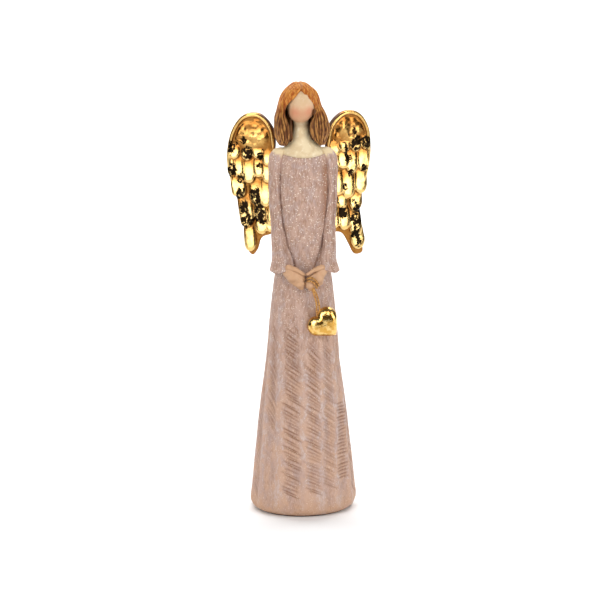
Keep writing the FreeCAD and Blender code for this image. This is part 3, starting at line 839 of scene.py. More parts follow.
def make_sleeve(side, material):
    sign = SIDES[side]
    turn = np.linspace(-math.pi, math.pi, 240, endpoint=False)
    levels = np.concatenate([[SHOULDER_LEVEL, 254.85, 254.5, 253.9, 253.1, 252, 250.6, 248.5],
                             np.arange(247, CUFF_LEVEL - 0.1, -0.62)])
    level = levels[:, None]
    rings = np.array([sleeve_ring(each, turn, 0) for each in levels])
    outward = unit((rings - rings.mean(axis=1, keepdims=True)) * (1, 1, 0.2))
    flare = smoothstep(215, 176, level)
    folds = (np.cos(turn * 5 + 0.8 + sign) * 0.5 + np.cos(turn * 8 - 1.2 * sign) * 0.3) * flare * 0.55
    seed = 20 + sign
    wrinkle = lumps(rings * (1, 1, 0.4), 6, seed) * 0.3 + lumps(rings * (1, 1, 0.7), 2.4, seed + 5) * 0.1
    slant = rings[..., 2] + 0.9 * np.abs(rings[..., 0] - 17)
    elbow = bell(level, 208, 9) * np.cos(slant / 3.1) * 0.3 * smoothstep(-0.3, 0.6, -np.cos(turn - 0.4))
    cut = np.zeros((len(levels), len(turn)))
    scratch(cut[::-1], turn, levels[::-1], SLEEVE_RADIUS, 420, 178, 9, 0.12, (0.22, 0.36), (0.08, 0.2))
    groove = bell(turn, 0.55 * sign, 0.16) * between(186, 200, 236, 246, level) * FRONT_GROOVE[side]
    height = (folds + wrinkle + elbow - cut - groove * 0.8) * smoothstep(0, 4, SHOULDER_LEVEL - level)
    rings = rings + outward * height[..., None]
    rim = [sleeve_ring(CUFF_LEVEL - drop, turn, inward)
           for drop, inward in ((0.5, 0.45), (0.35, CUFF_WALL - 0.3))]
    inside = [sleeve_ring(each, turn, CUFF_WALL) for each in np.arange(CUFF_LEVEL + 0.6, 188, 1.8)]
    lining = rim + inside
    # Faces point outwards on both sides because the right sleeve's rings run the other way round.
    order = (slice(None, None, -1), slice(None, None, sign))
    skin = Skin()
    skin.tube((np.concatenate([rings, lining]) * (sign, 1, 1))[order])
    torso_section = torso(rings[..., 2])
    gap = beyond_oval(rings[..., 0], rings[..., 1], torso_section) * 17
    from_axis = np.hypot(rings[..., 0], rings[..., 2] - NECKLINE_LEVEL - NECKLINE_RADIUS)
    # Each mark's values on the outside, and its value on the rim and the lining; the groove and crease values on
    # the rim and lining paint shade inside the cuff.
    marks = {
        "groove": (np.clip(cut / 0.26, 0, 1) + groove * 0.9, 0.4),
        "ridge": (np.clip(0.5 + folds + 0.5 * smoothstep(238, 250, level), 0, 1), 0),
        "crease_and_shade": (touching(gap) * between(174, 182, 238, 248, level) * 0.5, 0.75),
        "bare": (smoothstep(NECKLINE_RADIUS + 1.3, NECKLINE_RADIUS + 0.5, from_axis), 0),
    }
    blank = np.zeros((len(lining), len(turn)))
    marks = {mark: np.concatenate([outside, blank + within])[order]
             for mark, (outside, within) in marks.items()}
    return piece(f"{side}_sleeve_cloth", skin.all_points(), skin.faces, material,
                 [f"{side}_sleeve"], marks)


# ---------------------------------------------------------------- head and hair

FACE_CENTRE = np.array((-1.4, -2, 285))
FACE_RADII = np.array((10, 11.5, 12))
JAW = np.array((-2.4, -4.6, 280.7))
CHEEKS = np.array(((-6.6, -11, 280.6), (2.9, -11, 281.2)))
NECK_HALF_WIDTH = 5.1
# The bust lies this far inside the gown.
BUST_INSET = 0.45


def make_head(material):
    skin = Skin()
    ball(skin, FACE_CENTRE, FACE_RADII, 48)
    rod(skin, FACE_CENTRE + (-0.6, -3.0, -1.6), JAW, 8.6, 8.5)
    turn = np.linspace(-math.pi, math.pi, 72, endpoint=False)
    level = np.arange(240, 283, 1.0)[:, None]
    x, y, half_width, half_depth = torso(level)
    neck = smoothstep(252, 262, level)
    half_width = (np.maximum(half_width - BUST_INSET, 0) * (1 - neck)
                  + np.maximum(half_width, NECK_HALF_WIDTH) * neck)
    skin.tube(np.stack(np.broadcast_arrays(x + half_width * np.sin(turn),
                                           y - (half_depth - BUST_INSET) * np.cos(turn), level), axis=-1))
    points, normals, faces = melt(skin, 0.5, 8)
    points = points + normals * (lumps(points, 6, 31) * 0.08)[:, None]
    x, y, level = points.T
    blush = sum(bell(np.linalg.norm(points - cheek, axis=1), 0, 3.8) for cheek in CHEEKS)
    lower_face = between(271, 274, 278, 286, level) * smoothstep(-3, -8, y)
    # Painted shade under the chin, down the sides of the neck and along the neckline where the skin meets the
    # cloth.
    throat = bell(level, 270.5, 2.0) * smoothstep(4, -2, y)
    sides_of_neck = smoothstep(2.5, 6, np.abs(x + 2)) * between(262, 266, 270, 276, level)
    at_cloth = bell(np.abs(level - neckline_at(x)), 0, 1.1) * 0.3
    marks = {
        "tan": np.clip(lower_face * 0.6 + 0.45 * smoothstep(271, 275, level), 0, 1),
        "blush": np.clip(blush * 0.75, 0, 1),
        "hollow_shade": np.clip(throat * 0.5 + sides_of_neck * 0.2 + at_cloth, 0, 0.8),
    }
    return piece("head_and_bust", points, faces, material, ["head"], marks)


# Strands of hair as curves from the parting to the tips, from the face's edge round to the back.
STRANDS = {
    "right": (
        ((-2.6, -9.5, 295.7), (-6.1, -11, 291), (-10, -11, 287.6), (-12.6, -10, 284.3), (-13.4, -9, 280.5),
         (-11.6, -9, 275.1), (-9.7, -9.5, 269.7), (-9.2, -10, 265), (-10.4, -9.5, 260.2), (-12.1, -8, 257.3)),
        ((-2.7, -6, 298.6), (-9.8, -9, 294.6), (-14.8, -9, 286.6), (-16.8, -8.5, 278.4), (-16.7, -9, 271.7),
         (-15.6, -9, 265.6), (-14.2, -8.5, 260.9), (-13.4, -7, 257.1)),
        ((-2.6, -2, 300), (-6.7, -2, 299.5), (-11.7, -1, 295.6), (-15, 0, 291), (-16.9, 0, 285.3),
         (-18.2, 0, 280), (-19.4, 0, 276.2), (-19.6, 0, 270.4), (-19.8, 0, 264.7), (-18.1, 0, 260.4),
         (-16.2, 0, 256.9)),
        ((-1.9, 4, 299.6), (-8, 6, 297), (-13.2, 8, 290), (-15.6, 9, 281), (-16.4, 9.6, 272),
         (-15.8, 9, 264), (-13.6, 7, 257.5)),
        ((-1.4, 9.5, 296.5), (-1.5, 12.8, 291), (-1.5, 14.7, 283), (-1.5, 15, 274), (-1.5, 13.8, 265),
         (-1.5, 10.6, 257.5)),
    ),
    "left": (
        ((-2.2, -9.5, 295.7), (0.3, -11, 291.6), (4.3, -11, 288.2), (7.2, -10, 284.6), (8.3, -9, 281.4),
         (6.9, -9, 277.5), (4.3, -9.5, 273.2), (3.8, -10, 267.5), (6.4, -9.5, 261.5), (11.4, -8, 256.9)),
        ((-1.6, -6, 298.6), (2.4, -9, 295.2), (6.5, -9, 288.4), (8.6, -8.5, 281.5), (10.3, -9, 274.8),
         (11, -9, 267.3), (10.7, -8.5, 261.8), (11.6, -7, 257.2)),
        ((-2.6, -2, 300), (0.9, -2, 299.4), (5.6, -1, 296.2), (8.8, 0, 293.4), (10.7, 0, 289.5),
         (12.7, 0, 283.4), (14.6, 0, 280), (16.5, 0, 275.7), (18, 0, 269.9), (18.5, 0, 266.1), (17, 0, 262),
         (15, 0, 256.9)),
        ((-0.9, 4, 299.6), (4.4, 6, 297), (9.4, 8, 290), (12.2, 9, 281), (14, 9.6, 272),
         (14, 9, 264), (11.6, 7, 257.5)),
        ((-1.4, 9.5, 296.5), (-1.4, 12.8, 291), (-1.4, 14.7, 283), (-1.4, 15, 274), (-1.4, 13.8, 265),
         (-1.4, 10.6, 257.5)),
    ),
}
# Where each strand lies between the face's edge, at 0, and the middle of the back, at 1.
STRAND_SHARES = (0, 0.18, 0.42, 0.7, 1)
CUTS_PER_SIDE = 15
HAIR_MIDDLE = FACE_CENTRE - (0, 0, 6)


def hair_half(skin, side, marks):
    """One side of the bob: a sheet of hair through the side's strands, combed with cuts along them."""
    rows = 230
    columns = 84
    keys = np.array([path(strand, columns) for strand in STRANDS[side]])
    share = np.linspace(0, 1, rows)[:, None]
    grid = ease(STRAND_SHARES, keys.reshape(len(keys), -1), share[:, 0]).reshape(rows, columns, 3)
    normals = unit(np.cross(np.gradient(grid, axis=1), np.gradient(grid, axis=0)))
    if np.mean(np.sum(normals * (grid - HAIR_MIDDLE), axis=-1)) < 0:
        normals = -normals
    t = np.linspace(0, 1, columns)[None]
    flow = np.stack(np.broadcast_arrays(share * 7, t * 2.6, 3.0), -1)
    phase = share * CUTS_PER_SIDE + lumps(flow, 1, 40 + SIDES[side]) * 0.45
    number = np.clip(np.floor(phase).astype(int), 0, CUTS_PER_SIDE + 1)
    groove = smoothstep(0.74, 0.08, np.abs(np.sin(math.pi * phase)))
    deep = RANDOM.uniform(0.35, 1.0, CUTS_PER_SIDE + 2)[number]
    fine = 0.5 - 0.5 * np.cos(2 * math.pi * (phase * 3 + lumps(flow * 2, 1, 45)))
    locks = smoothstep(0.22, 0.55, t)
    depth = (0.3 + 0.75 * locks) * (0.5 + 0.5 * deep)
    height = (0.3 - groove * depth - fine * 0.07 + lumps(grid, 5, 44) * 0.2) * smoothstep(0, 0.05, t)
    thickness = 2.0 * smoothstep(1.02, 0.8, t) + 0.35
    skin.shell(grid + normals * height[..., None], grid - normals * thickness[..., None])
    # Painted shade on the hair beside the face, and the full groove and shade marks on the sheet's inner face.
    front = smoothstep(0.3, 0.0, share) * smoothstep(0.5, 0.66, t)
    inside = np.ones(rows * columns)
    dark = groove * (0.45 + 0.55 * locks) * (0.45 + 0.55 * deep) + fine * 0.18
    marks["groove"] += [np.clip(dark, 0, 1).ravel(), inside]
    marks["shade"] += [(front * (0.3 + 0.5 * groove)).ravel(), inside]


def under_hair(skin, marks):
    """The hair behind the neck, painted dark as shade, seen between the neck and the locks."""
    turn = np.radians(np.linspace(-122, 122, 120))[:, None]
    t = np.linspace(0, 1, 30)[None]
    flow = np.stack(np.broadcast_arrays(turn * 4, t * 3, 0.0), -1)
    groove = 1 - np.abs(np.sin(turn * 17 + lumps(flow, 1, 50))) ** 0.6
    reach = 1 - 0.12 * t
    radius_x = 9.8 * reach - groove * 0.4
    radius_y = 9.5 * reach - groove * 0.4
    layers = [np.stack(np.broadcast_arrays(-1.4 + radius_x * part * np.sin(turn),
                                           0.5 + radius_y * part * np.cos(turn), 285 - 25.5 * t), -1)
              for part in (1, 0.8)]
    skin.shell(*layers)
    marks["groove"] += [np.clip(0.35 + groove * 0.6, 0, 1).ravel()] * 2
    marks["shade"] += [np.clip(0.55 + groove * 0.4, 0, 1).ravel()] * 2


def parting(skin, marks):
    """A low ridge under the parting, which closes the joint between the two halves."""
    count = 30
    line = path([np.array(strand[0]) - (0, 0, 0.9) for strand in STRANDS["left"]], count)
    before = skin.count
    sweep(skin, line, (0, 0, 1), np.full(count, 1.1), np.full(count, 1.0), 12)
    for values in marks.values():
        values.append(np.full(skin.count - before, 0.25))


def make_hair(material):
    skin = Skin()
    marks = {"groove": [], "shade": []}
    for side in SIDES:
        hair_half(skin, side, marks)
    under_hair(skin, marks)
    parting(skin, marks)
    marks = {mark: np.concatenate(values) for mark, values in marks.items()}
    return piece("hair", skin.all_points(), skin.faces, material, ["hair"], marks)


# ---------------------------------------------------------------- wings

WING_ROOT = (8, 13)
WING_SWEEP = math.radians(26)
# Outline of each wing in its own plane: distance out from the root, level.
WING_OUTLINES = {
    "right": ((-2, 214), (2, 238), (10.5, 252), (13, 267), (22, 276), (32.8, 275), (41.5, 265),
              (46, 246), (44, 228), (37, 210), (32, 192), (31, 179.5), (27.4, 176.3), (23.4, 181),
              (20.5, 189), (12, 193)),
    "left": ((-2, 214), (2, 238), (10.5, 252), (14, 268), (24, 276.5), (35.7, 276), (44, 267),
             (46.9, 250), (45, 233), (40.3, 216), (38.3, 200), (41, 184), (41.6, 176), (35, 175),
             (29.6, 183), (24, 191), (12, 194)),
}
# Half of the plate that carries the feathers, from its back to its front: inset from the outline, lift.
PLATE_EDGE = ((1.6, -1.0), (0.6, -0.9), (0.1, -0.5), (0.1, 0.5), (0.6, 0.9), (1.6, 1.0))
# Long feathers, top row first: distance out and level of the root and of the tip, and the width.
FEATHERS = {
    "right": (
        ((30.7, 254), (30.7, 243), 8), ((22.8, 254), (22.2, 244.6), 8.5), ((39.4, 255), (40.5, 243.5), 7),
        ((15.5, 250), (15, 240), 7.5),
        ((30, 246), (28.8, 227), 8.2), ((23.2, 246), (21.5, 231.5), 7.2), ((38, 246), (36.4, 231), 7.2),
        ((43.2, 247), (42.4, 232), 5), ((16, 243), (15, 228), 7.5),
        ((37.2, 234), (34.8, 217), 7.4), ((25.4, 231), (22.6, 212), 8.8), ((17.8, 232), (16.4, 211), 7.4),
        ((41.8, 234), (39, 217.5), 5), ((9, 232), (8, 212), 8),
        ((32.2, 220), (29, 197), 8), ((22.4, 216), (19.6, 201), 8.6), ((36.4, 219), (31.5, 196), 6),
        ((12, 216), (11.5, 198), 8),
        ((30.2, 202), (27.8, 179), 8), ((20.2, 206), (19.6, 191.5), 8.6), ((13, 205), (13, 193.5), 8),
    ),
    "left": (
        ((33.7, 260), (34.4, 248), 9), ((42.4, 260), (42.6, 249), 7.6), ((25, 260), (25, 248), 9),
        ((17, 256), (17, 246), 8),
        ((23.4, 251), (23.8, 236.5), 8), ((31, 251), (31, 232.5), 8.8), ((41, 251), (40.4, 234), 9.4),
        ((16, 248), (16.4, 234), 7.6),
        ((28.2, 238), (28.3, 215.5), 9.4), ((39.4, 238), (38.2, 218), 9.4), ((19, 238), (19.6, 218), 8.6),
        ((10, 236), (11, 216), 8),
        ((23.2, 221), (23.2, 208.5), 8), ((35.4, 221), (33.8, 206), 10), ((14.5, 220), (15, 203), 8.4),
        ((24.8, 212), (25.2, 193), 8.8), ((33.6, 211), (35, 188), 9.2), ((16.5, 208), (17, 195), 8),
        ((34, 200), (37.4, 178.4), 10.6),
    ),
}
# The feathers overlap their neighbours by this much of their width.
FEATHER_SPREAD = 1.2
# Where dark reflections are painted on the leaf as black patches: distance out, level and size of each patch.
PAINTED_REFLECTIONS = {
    "right": ((33, 257, 3.4), (31, 248.5, 4.6), (42, 252, 4.4), (42, 236, 4.6), (21, 246, 2.6), (36, 230, 3),
              (35.5, 220, 4.6), (24.5, 217.5, 5.4), (33, 210, 6.2), (30, 201, 5.4), (21, 207, 6), (22, 239, 3)),
    "left": ((33.8, 253.5, 5.2), (43, 254, 5.2), (33, 263, 2.8), (26, 248, 2.8), (29, 243, 4), (41, 236.5, 3),
             (30, 232.5, 2.6), (25, 224, 2.4), (23.5, 206, 4.4), (35, 207, 5.4), (35, 198, 5), (34, 190, 4),
             (37, 183, 3.4)),
}
# The rounded pad that the upper wing swells to: distance out, level, half width and half height.
COVERT_PADS = {"right": (27, 259, 13, 12), "left": (29.5, 261, 13.5, 11.5)}
PAD_DEPTH = 1.6
# Each face of the wing, 1 for the front and -1 for the back, and how puffy it is.
WING_FACES = ((1, 1.0), (-1, 0.9))


class WingPlane:
    """Turns distance out, level and lift off the middle plane into places in the frame."""

    def __init__(self, side):
        sign = SIDES[side]
        self.root = np.array((sign * WING_ROOT[0], WING_ROOT[1], 0))
        self.out = np.array((sign * math.cos(WING_SWEEP), math.sin(WING_SWEEP), 0))
        self.front = np.array((sign * math.sin(WING_SWEEP), -math.cos(WING_SWEEP), 0))
        self.up = np.array((0, 0, 1))

    def place(self, out, level, lift):
        return (self.root + np.asarray(out)[..., None] * self.out + np.asarray(level)[..., None] * self.up
                + np.asarray(lift)[..., None] * self.front)

    def read(self, points):
        away = points - self.root
        return away @ self.out, points[:, 2], away @ self.front


def feather(skin, plane, root, tip, width, face, puff):
    """A puffy feather on one face of the wing: sunk in at its root, proud and rounded at its tip."""
    t = np.linspace(0, 1, 24)
    bow = np.sin(math.pi * t) * 0.04 * width
    out = root[0] + (tip[0] - root[0]) * t + bow
    level = root[1] + (tip[1] - root[1]) * t
    from_tip = (1 - t) * math.dist(root, tip)
    half = width / 2 * (0.86 + 0.2 * t - 0.08 * t * t) * rounded(from_tip, width * 0.62, 0.003)
    deep = (0.9 + 0.5 * t) * puff * rounded(from_tip, width * 0.3, 0.01)
    lift = face * (0.1 + 1.75 * t) * puff
    sweep(skin, plane.place(out, level, lift), plane.front * face, half, deep, 24, 0.72)


def wing_plate(skin, plane, outline):
    """The thin plate within the wing's outline, with a rounded edge."""
    tangent = unit(np.roll(outline, -1, axis=0) - np.roll(outline, 1, axis=0))
    inward = np.stack([-tangent[:, 1], tangent[:, 0]], axis=1)
    if np.sum(inward * (outline.mean(axis=0) - outline)) < 0:
        inward = -inward
    rings = []
    for inset, lift in PLATE_EDGE:
        line = outline + inward * inset
        rings.append(plane.place(line[:, 0], line[:, 1], np.full(len(line), lift)))
    skin.tube(np.array(rings))


def wing_rim(skin, plane, side, centre):
    """The rolled rim over the top of the wing and down its outer edge, thinner towards its end."""
    line = path(WING_OUTLINES[side][2:-6], 70)
    line = line + unit(centre - line) * 1.7
    t = np.linspace(0, 1, len(line))
    size = (0.55 + 0.45 * smoothstep(1.0, 0.6, t)) * blunt(t, 16, 0.002)
    sweep(skin, plane.place(line[:, 0], line[:, 1], 0 * t), plane.front, 1.8 * size, 2.75 * size)


def covert_pad(skin, plane, side, face, puff):
    """The oval swelling of the upper wing on one of its faces."""
    out, level, half_width, half_height = COVERT_PADS[side]
    shape = unit_ball(40)
    centre = plane.place(np.array(out), np.array(level), np.array(0.5 * face))
    skin.tube(centre + shape[..., :1] * half_width * plane.out + shape[..., 2:] * half_height * plane.up
              + shape[..., 1:2] * PAD_DEPTH * puff * plane.front)


def rim_distance(outline, out, level):
    """How far points of the wing's plane lie from its outline."""
    nearest = np.full(len(out), 1e9)
    for rim_out, rim_level in outline:
        nearest = np.minimum(nearest, (out - rim_out) ** 2 + (level - rim_level) ** 2)
    return np.sqrt(nearest)


def painted_reflection_patches(side, points, out, level):
    """1 in the ragged patches painted black as dark reflections, 0 outside them."""
    dark_patches = np.zeros(len(points))
    ragged = 1 + 0.45 * lumps(points, 4.2, 66)
    for patch_out, patch_level, size in PAINTED_REFLECTIONS[side]:
        away = np.hypot(out - patch_out, (level - patch_level) * 0.75) * ragged
        dark_patches = np.maximum(dark_patches, smoothstep(1.3, 0.45, away / size))
    return dark_patches


def make_wing(side, material):
    plane = WingPlane(side)
    outline = path(WING_OUTLINES[side], 160, closed=True)
    skin = Skin()
    wing_plate(skin, plane, outline)
    wing_rim(skin, plane, side, outline.mean(axis=0))
    for face, puff in WING_FACES:
        covert_pad(skin, plane, side, face, puff)
        for root, tip, width in FEATHERS[side]:
            feather(skin, plane, root, tip, width * FEATHER_SPREAD, face, puff)
    for end in ("upper", "lower"):
        # A boss that covers the dowel's end.
        pin = f"{side}_wing_pin_{end}"
        ball(skin, middle(pin) + (0, half_size(pin)[1] - 1.3, 0), (3.4, 2.0, 5))
    points, normals, faces = melt(skin, 0.4, 4)
    out, level, lift = plane.read(points)
    lift = np.abs(lift)
    coverts = smoothstep(246, 256, level)
    crumple = lumps(points, 6, 62) * 0.42 + lumps(points * (1, 1, 1.5), 2.8, 63) * 0.24
    hammer = lumps(points, 3.4, 60) * 0.07 + lumps(points, 1.4, 61) * 0.02
    coverts_inside = coverts * smoothstep(2.6, 5.5, rim_distance(outline, out, level))
    points = points + normals * (hammer + crumple * coverts_inside)[:, None]
    facing_in = normals @ -plane.out * 0.8 + normals[:, 2] * 0.35
    flat = 1 - np.abs(normals @ plane.front)
    edge = smoothstep(0.35, 0.7, facing_in) * smoothstep(0.15, 0.45, flat) * smoothstep(27, 20, out)
    edge = edge * smoothstep(206, 214, level) * smoothstep(2.9, 2.3, lift)
    # Brown glaze in the low parts, and painted shade on the feathers' sideways faces and in the crumple valleys.
    hollow_shade = smoothstep(2.1, 1.2, lift) + 0.6 * smoothstep(0.4, 0.7, flat)
    hollow_shade = hollow_shade + coverts_inside * smoothstep(0.15, -0.3, crumple) * 0.7
    marks = {
        "edge": np.clip(edge, 0, 1),
        # Painted dark reflections: black patches on the leaf.
        "dark_patches": 0.31 + 0.28 * painted_reflection_patches(side, points, out, level),
        "hollow_shade": np.clip(hollow_shade, 0, 1),
        # Painted highlight on the fronts of the feathers' tops, weaker on the coverts.
        "crown": smoothstep(1.3, 2.2, lift) * smoothstep(0.5, 0.15, flat) * (1 - 0.6 * coverts),
    }
    return piece(f"{side}_wing_feathers", points, faces, material, [f"{side}_wing"], marks)


# ---------------------------------------------------------------- hands, cord and heart

# Rods of the wrist, the first finger's top and the thumb: start, end and the radius at each.
HAND_RODS = {
    "right": (((-15.0, -17.0, 175.6), (-11.0, -20.6, 171.4), 3.8, 4.2),
              ((-9.6, -21.9, 172.4), (-2.4, -22.9, 168.0), 2.1, 1.7),
              ((-12, -21.8, 175.9), (-7.2, -23.6, 174.7), 2.2, 1.6),
              ((-7.2, -23.6, 174.7), (-1.8, -23.8, 171.2), 1.5, 1.2)),
    "left": (((13.6, -17.2, 175.4), (9.6, -20.4, 171.2), 3.6, 4.0),
             ((9.2, -21.9, 171.8), (1.4, -22.7, 167.8), 2.0, 1.6),
             ((10.6, -21.8, 175.6), (5.6, -23.6, 174.4), 2.1, 1.5),
             ((5.6, -23.6, 174.4), (0.6, -23.8, 171.2), 1.45, 1.15)),
}
# Four fingers side by side: the first one's start, its step to the next, its end, that step, and radii.
FINGERS = {
    "right": ((-10.0, -22.6, 171.4), (-0.3, 0.35, -1.3), (-2.9, -23.4, 165.0), (-0.2, 0.5, -1.0), 2.0, 1.95),
    "left": ((9.4, -22.4, 170.8), (0.1, 0.35, -1.9), (0.9, -23.4, 164.9), (0.7, 0.45, -1.25), 1.95, 1.9),
}
# The palm and the bent fingers' ends: centre and radii.
HAND_BALLS = {
    "right": (((-9.2, -21.4, 169.4), (4.6, 3.9, 4.2)), ((-4.4, -22.0, 164.2), (2.9, 3.2, 2.9))),
    "left": (((7.8, -21.4, 168.0), (4.4, 3.9, 4.8)), ((2.2, -22.2, 163.6), (3.2, 3.4, 3.0))),
}


def make_hand(side, material):
    skin = Skin()
    for wrist_or_thumb in HAND_RODS[side]:
        rod(skin, *wrist_or_thumb)
    start, start_step, end, end_step, start_radius, end_radius = FINGERS[side]
    for number in range(4):
        rod(skin, np.array(start) + np.array(start_step) * number, np.array(end) + np.array(end_step) * number,
            start_radius, end_radius)
    for centre, radii in HAND_BALLS[side]:
        ball(skin, centre, radii)
    points, normals, faces = melt(skin, 0.3, 5)
    x, y, level = points.T
    # Painted shade between the fingers, where the two hands meet and on the undersides, with a little all over.
    gap = bell(level, 167.5, 2.4) * between(-4.0, -1.5, 0.5, 3, x)
    hollow_shade = 0.06 + gap * 0.6 + smoothstep(0.1, -0.7, normals[:, 2]) * 0.45 + bell(x, -1.2, 0.8) * 0.5
    marks = {"tan": np.full(len(points), 0.9), "hollow_shade": np.clip(hollow_shade, 0, 0.8)}
    return piece(f"{side}_hand_skin", points, faces, material, [f"{side}_hand"], marks)


CORD_RADIUS = 0.7
CORD_Y = -23.6
# Points of the two strands from the hand to the heart: x, level.
CORD_STRANDS = (
    ((3.4, 162.0), (5.3, 156.4), (6.8, 150.6), (6.9, 144.6), (7.6, 141.4)),
    ((4.4, 162.2), (7.1, 156.4), (8.5, 150.6), (8.8, 144.8), (8.2, 141.4)),
)
# Points of the two turns over the left hand's fingers.
CORD_TURNS = (
    ((-0.2, -24.2, 168.4), (2.9, -25.4, 169.2), (5.8, -25.4, 167.4), (7.8, -24.4, 164.4), (8.4, -22.8, 162.4)),
    ((-0.1, -24.6, 166.6), (2.4, -25.7, 167.0), (4.9, -25.6, 165.5), (6.8, -24.4, 162.6), (7.4, -22.8, 161.0)),
)


def lay_cord(skin, points, radii):
    """Adds a round cord through these points."""
    sweep(skin, path(points, len(radii)), FORWARD, radii, radii, 12)


def make_cord(material):
    """Two cast strands from the hand to the heart, joined by a small band at the heart's cleft."""
    skin = Skin()
    for strand in CORD_STRANDS:
        twist = 1 + 0.07 * np.sin(np.linspace(0, 75, 50))
        lay_cord(skin, [(x, CORD_Y, level) for x, level in strand], CORD_RADIUS * twist)
    rod(skin, (7.8, CORD_Y + 0.2, 144.6), (8.0, CORD_Y + 0.2, 141.2), 1.1, 1.2, 0.7)
    points, normals, faces = melt(skin, 0.16, 3)
    return piece("heart_cord_strands", points, faces, material, ["heart_cord"])


def make_wrap(material):
    """Two turns of gilded cord over the left hand's fingers."""
    skin = Skin()
    for turn_points in CORD_TURNS:
        lay_cord(skin, turn_points, CORD_RADIUS * 0.95 * blunt(np.linspace(0, 1, 40), 12, 0.01))
    points, normals, faces = melt(skin, 0.16, 2)
    return piece("cord_turns", points, faces, material, ["cord_hand_wrap"])


HEART_SIDE = 13.4
HEART_CENTRE = np.array((14, -22.4, 135))
HEART_HALF_DEPTH = 5.5


def heart_outline(side):
    """A square with a half disc on its left and on its top side, so that the tip is lower right."""
    half = side / 2
    top = math.pi * np.linspace(0, 1, 30)
    points = [np.array([(half * 0.55, -half), (half * 0.93, -half * 0.93), (half, -half * 0.55)]),
              np.stack([half * np.cos(top), half + half * 0.98 * np.sin(top)], axis=1),
              np.stack([-half - half * 0.98 * np.sin(top), half * np.cos(top)], axis=1)]
    return path(np.concatenate(points), 120, closed=True)


def make_heart(material):
    skin = Skin()
    rings = []
    for angle in np.radians(np.linspace(-88, 88, 29)):
        flat = heart_outline(HEART_SIDE * (0.06 + 0.94 * math.cos(angle) ** 0.62))
        depth = np.full(len(flat), -HEART_HALF_DEPTH * math.sin(angle))
        rings.append(np.stack([flat[:, 0], depth, flat[:, 1]], 1))
    skin.tube(np.array(rings) + HEART_CENTRE)
    points, normals, faces = melt(skin, 0.3, 14)
    points = points + normals * (0.25 + lumps(points, 4, 70) * 0.16)[:, None]
    return piece("heart_charm", points, faces, material, ["heart"])


# ---------------------------------------------------------------- the figure

GOWN_MATERIAL = gown_paint()
SKIN_MATERIAL = skin_paint()
make_gown(GOWN_MATERIAL)
for side_name in SIDES:
    make_sleeve(side_name, GOWN_MATERIAL)
make_head(SKIN_MATERIAL)
make_hair(hair_paint())
WING_MATERIAL = gold_leaf()
for side_name in SIDES:
    make_wing(side_name, WING_MATERIAL)
for side_name in SIDES:
    make_hand(side_name, SKIN_MATERIAL)
CORD_MATERIAL = cord_gilding()
make_cord(CORD_MATERIAL)
make_wrap(CORD_MATERIAL)
make_heart(polished_gold())

STEEL = steel()
KEPT_NODES = {"felt_pad": felt(), "bottom_plug": plug_resin()}
KEPT_NODES.update({node_name: STEEL for node_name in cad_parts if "_pin" in node_name})
for node_name, node_material in KEPT_NODES.items():
    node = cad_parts[node_name]
    node.data.materials.clear()
    node.data.materials.append(node_material)


# ---------------------------------------------------------------- stage, lights and camera

STAGE_HALF_WIDTH = 3000
STAGE_FRONT = -2500
STAGE_BACK = 1500
STAGE_TOP = 2500
STAGE_BEND = 500
# Rectangular lights: place, size, power in watts and the point aimed at.
LIGHTS = {
    "key": ((-1000, -950, 640), (750, 1050), 9.3, (0, 0, 150)),
    "fill": ((1100, -850, 600), (650, 1050), 9.2, (0, 0, 150)),
    "top": ((60, -1000, 930), (1000, 480), 3.6, (0, 0, 150)),
    "back_wash": ((0, 500, 1300), (1600, 500), 26, (0, 1000, 200)),
}
# The camera stands on a ray through the figure's middle and aims just beside it.
CAMERA_AZIMUTH = math.radians(-6)
CAMERA_ELEVATION = math.radians(12)
CAMERA_DISTANCE = 1400
CAMERA_AIM = Vector((-2.07, 0.2, 148.5))


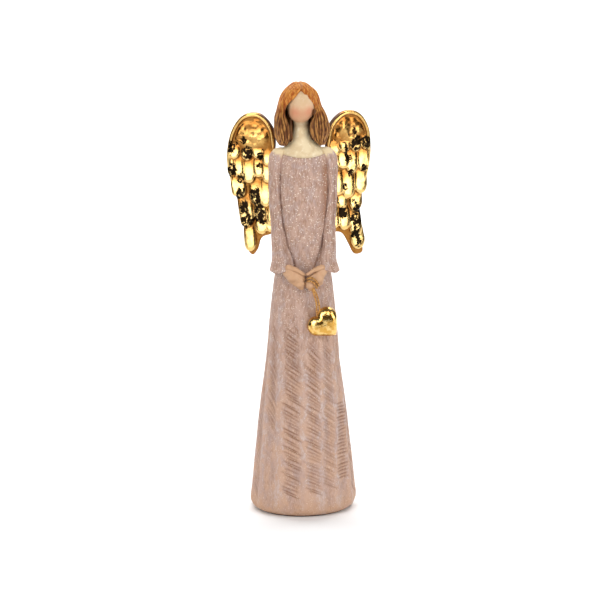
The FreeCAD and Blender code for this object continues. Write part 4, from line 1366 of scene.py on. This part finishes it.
def add_stage():
    """A pale floor that turns up into a pale backdrop behind the figure."""
    skin = Skin()
    bend = np.linspace(0, math.pi / 2, 12)
    profile = [(STAGE_FRONT, 0), (STAGE_BACK - STAGE_BEND, 0)]
    profile += [(STAGE_BACK - STAGE_BEND + STAGE_BEND * math.sin(angle), STAGE_BEND - STAGE_BEND * math.cos(angle))
                for angle in bend]
    profile += [(STAGE_BACK, STAGE_TOP)]
    points = [[(x, y, z) for x in (-STAGE_HALF_WIDTH, STAGE_HALF_WIDTH)] for y, z in profile]
    skin.add(points, grid_faces(len(profile), 2, False))
    paint = Paint("stage_white", Roughness=0.9, Specular_IOR_Level=0.1)
    paint.colour = paint.mix((0.93, 0.93, 0.93, 1), (0.96, 0.96, 0.96, 1), paint.noise(200, 1))
    mesh = mesh_from("stage_floor", skin.all_points(), skin.faces)
    mesh.shade_smooth()
    mesh.materials.append(paint.done())
    floor = bpy.data.objects.new("stage_floor", mesh)
    bpy.context.scene.collection.objects.link(floor)


def point_at(obj, place, target):
    """Places a light or a camera and turns it to a target, both in design millimetres."""
    obj.location = Vector(place) * MM
    obj.rotation_euler = (Vector(target) * MM - obj.location).to_track_quat("-Z", "Y").to_euler()
    bpy.context.scene.collection.objects.link(obj)


def add_light(name, place, size, power, target):
    data = bpy.data.lights.new(name, "AREA")
    data.shape = "RECTANGLE"
    data.size = size[0] * MM
    data.size_y = size[1] * MM
    data.energy = power * (MM * 1000) ** 2
    point_at(bpy.data.objects.new(name, data), place, target)


def add_camera():
    data = bpy.data.cameras.new("camera")
    data.lens = 121.14
    data.sensor_width = 36
    data.clip_start = 0.05
    data.clip_end = 50
    camera = bpy.data.objects.new("camera", data)
    back = Vector((math.sin(CAMERA_AZIMUTH) * math.cos(CAMERA_ELEVATION),
                   -math.cos(CAMERA_AZIMUTH) * math.cos(CAMERA_ELEVATION), math.sin(CAMERA_ELEVATION)))
    point_at(camera, Vector((0, 0, DESIGN_HEIGHT / 2)) + back * CAMERA_DISTANCE, CAMERA_AIM)
    bpy.context.scene.camera = camera


def add_world():
    """Dim surroundings, warm grey below and pale above."""
    world = bpy.data.worlds.new("studio")
    world.use_nodes = True
    bpy.context.scene.world = world
    tree = world.node_tree
    background = tree.nodes["Background"]
    coordinates = tree.nodes.new("ShaderNodeTexCoord")
    split = tree.nodes.new("ShaderNodeSeparateXYZ")
    tree.links.new(coordinates.outputs["Generated"], split.inputs[0])
    ramp = tree.nodes.new("ShaderNodeValToRGB")
    tree.links.new(split.outputs["Z"], ramp.inputs[0])
    below, above = ramp.color_ramp.elements
    below.position = 0.0
    below.color = (0.30, 0.28, 0.26, 1)
    above.position = 0.7
    above.color = (0.75, 0.75, 0.76, 1)
    tree.links.new(ramp.outputs[0], background.inputs["Color"])
    background.inputs["Strength"].default_value = 0.25


add_stage()
for light_name, light in LIGHTS.items():
    add_light(light_name, *light)
add_world()
add_camera()
bpy.context.scene.view_settings.view_transform = "Standard"
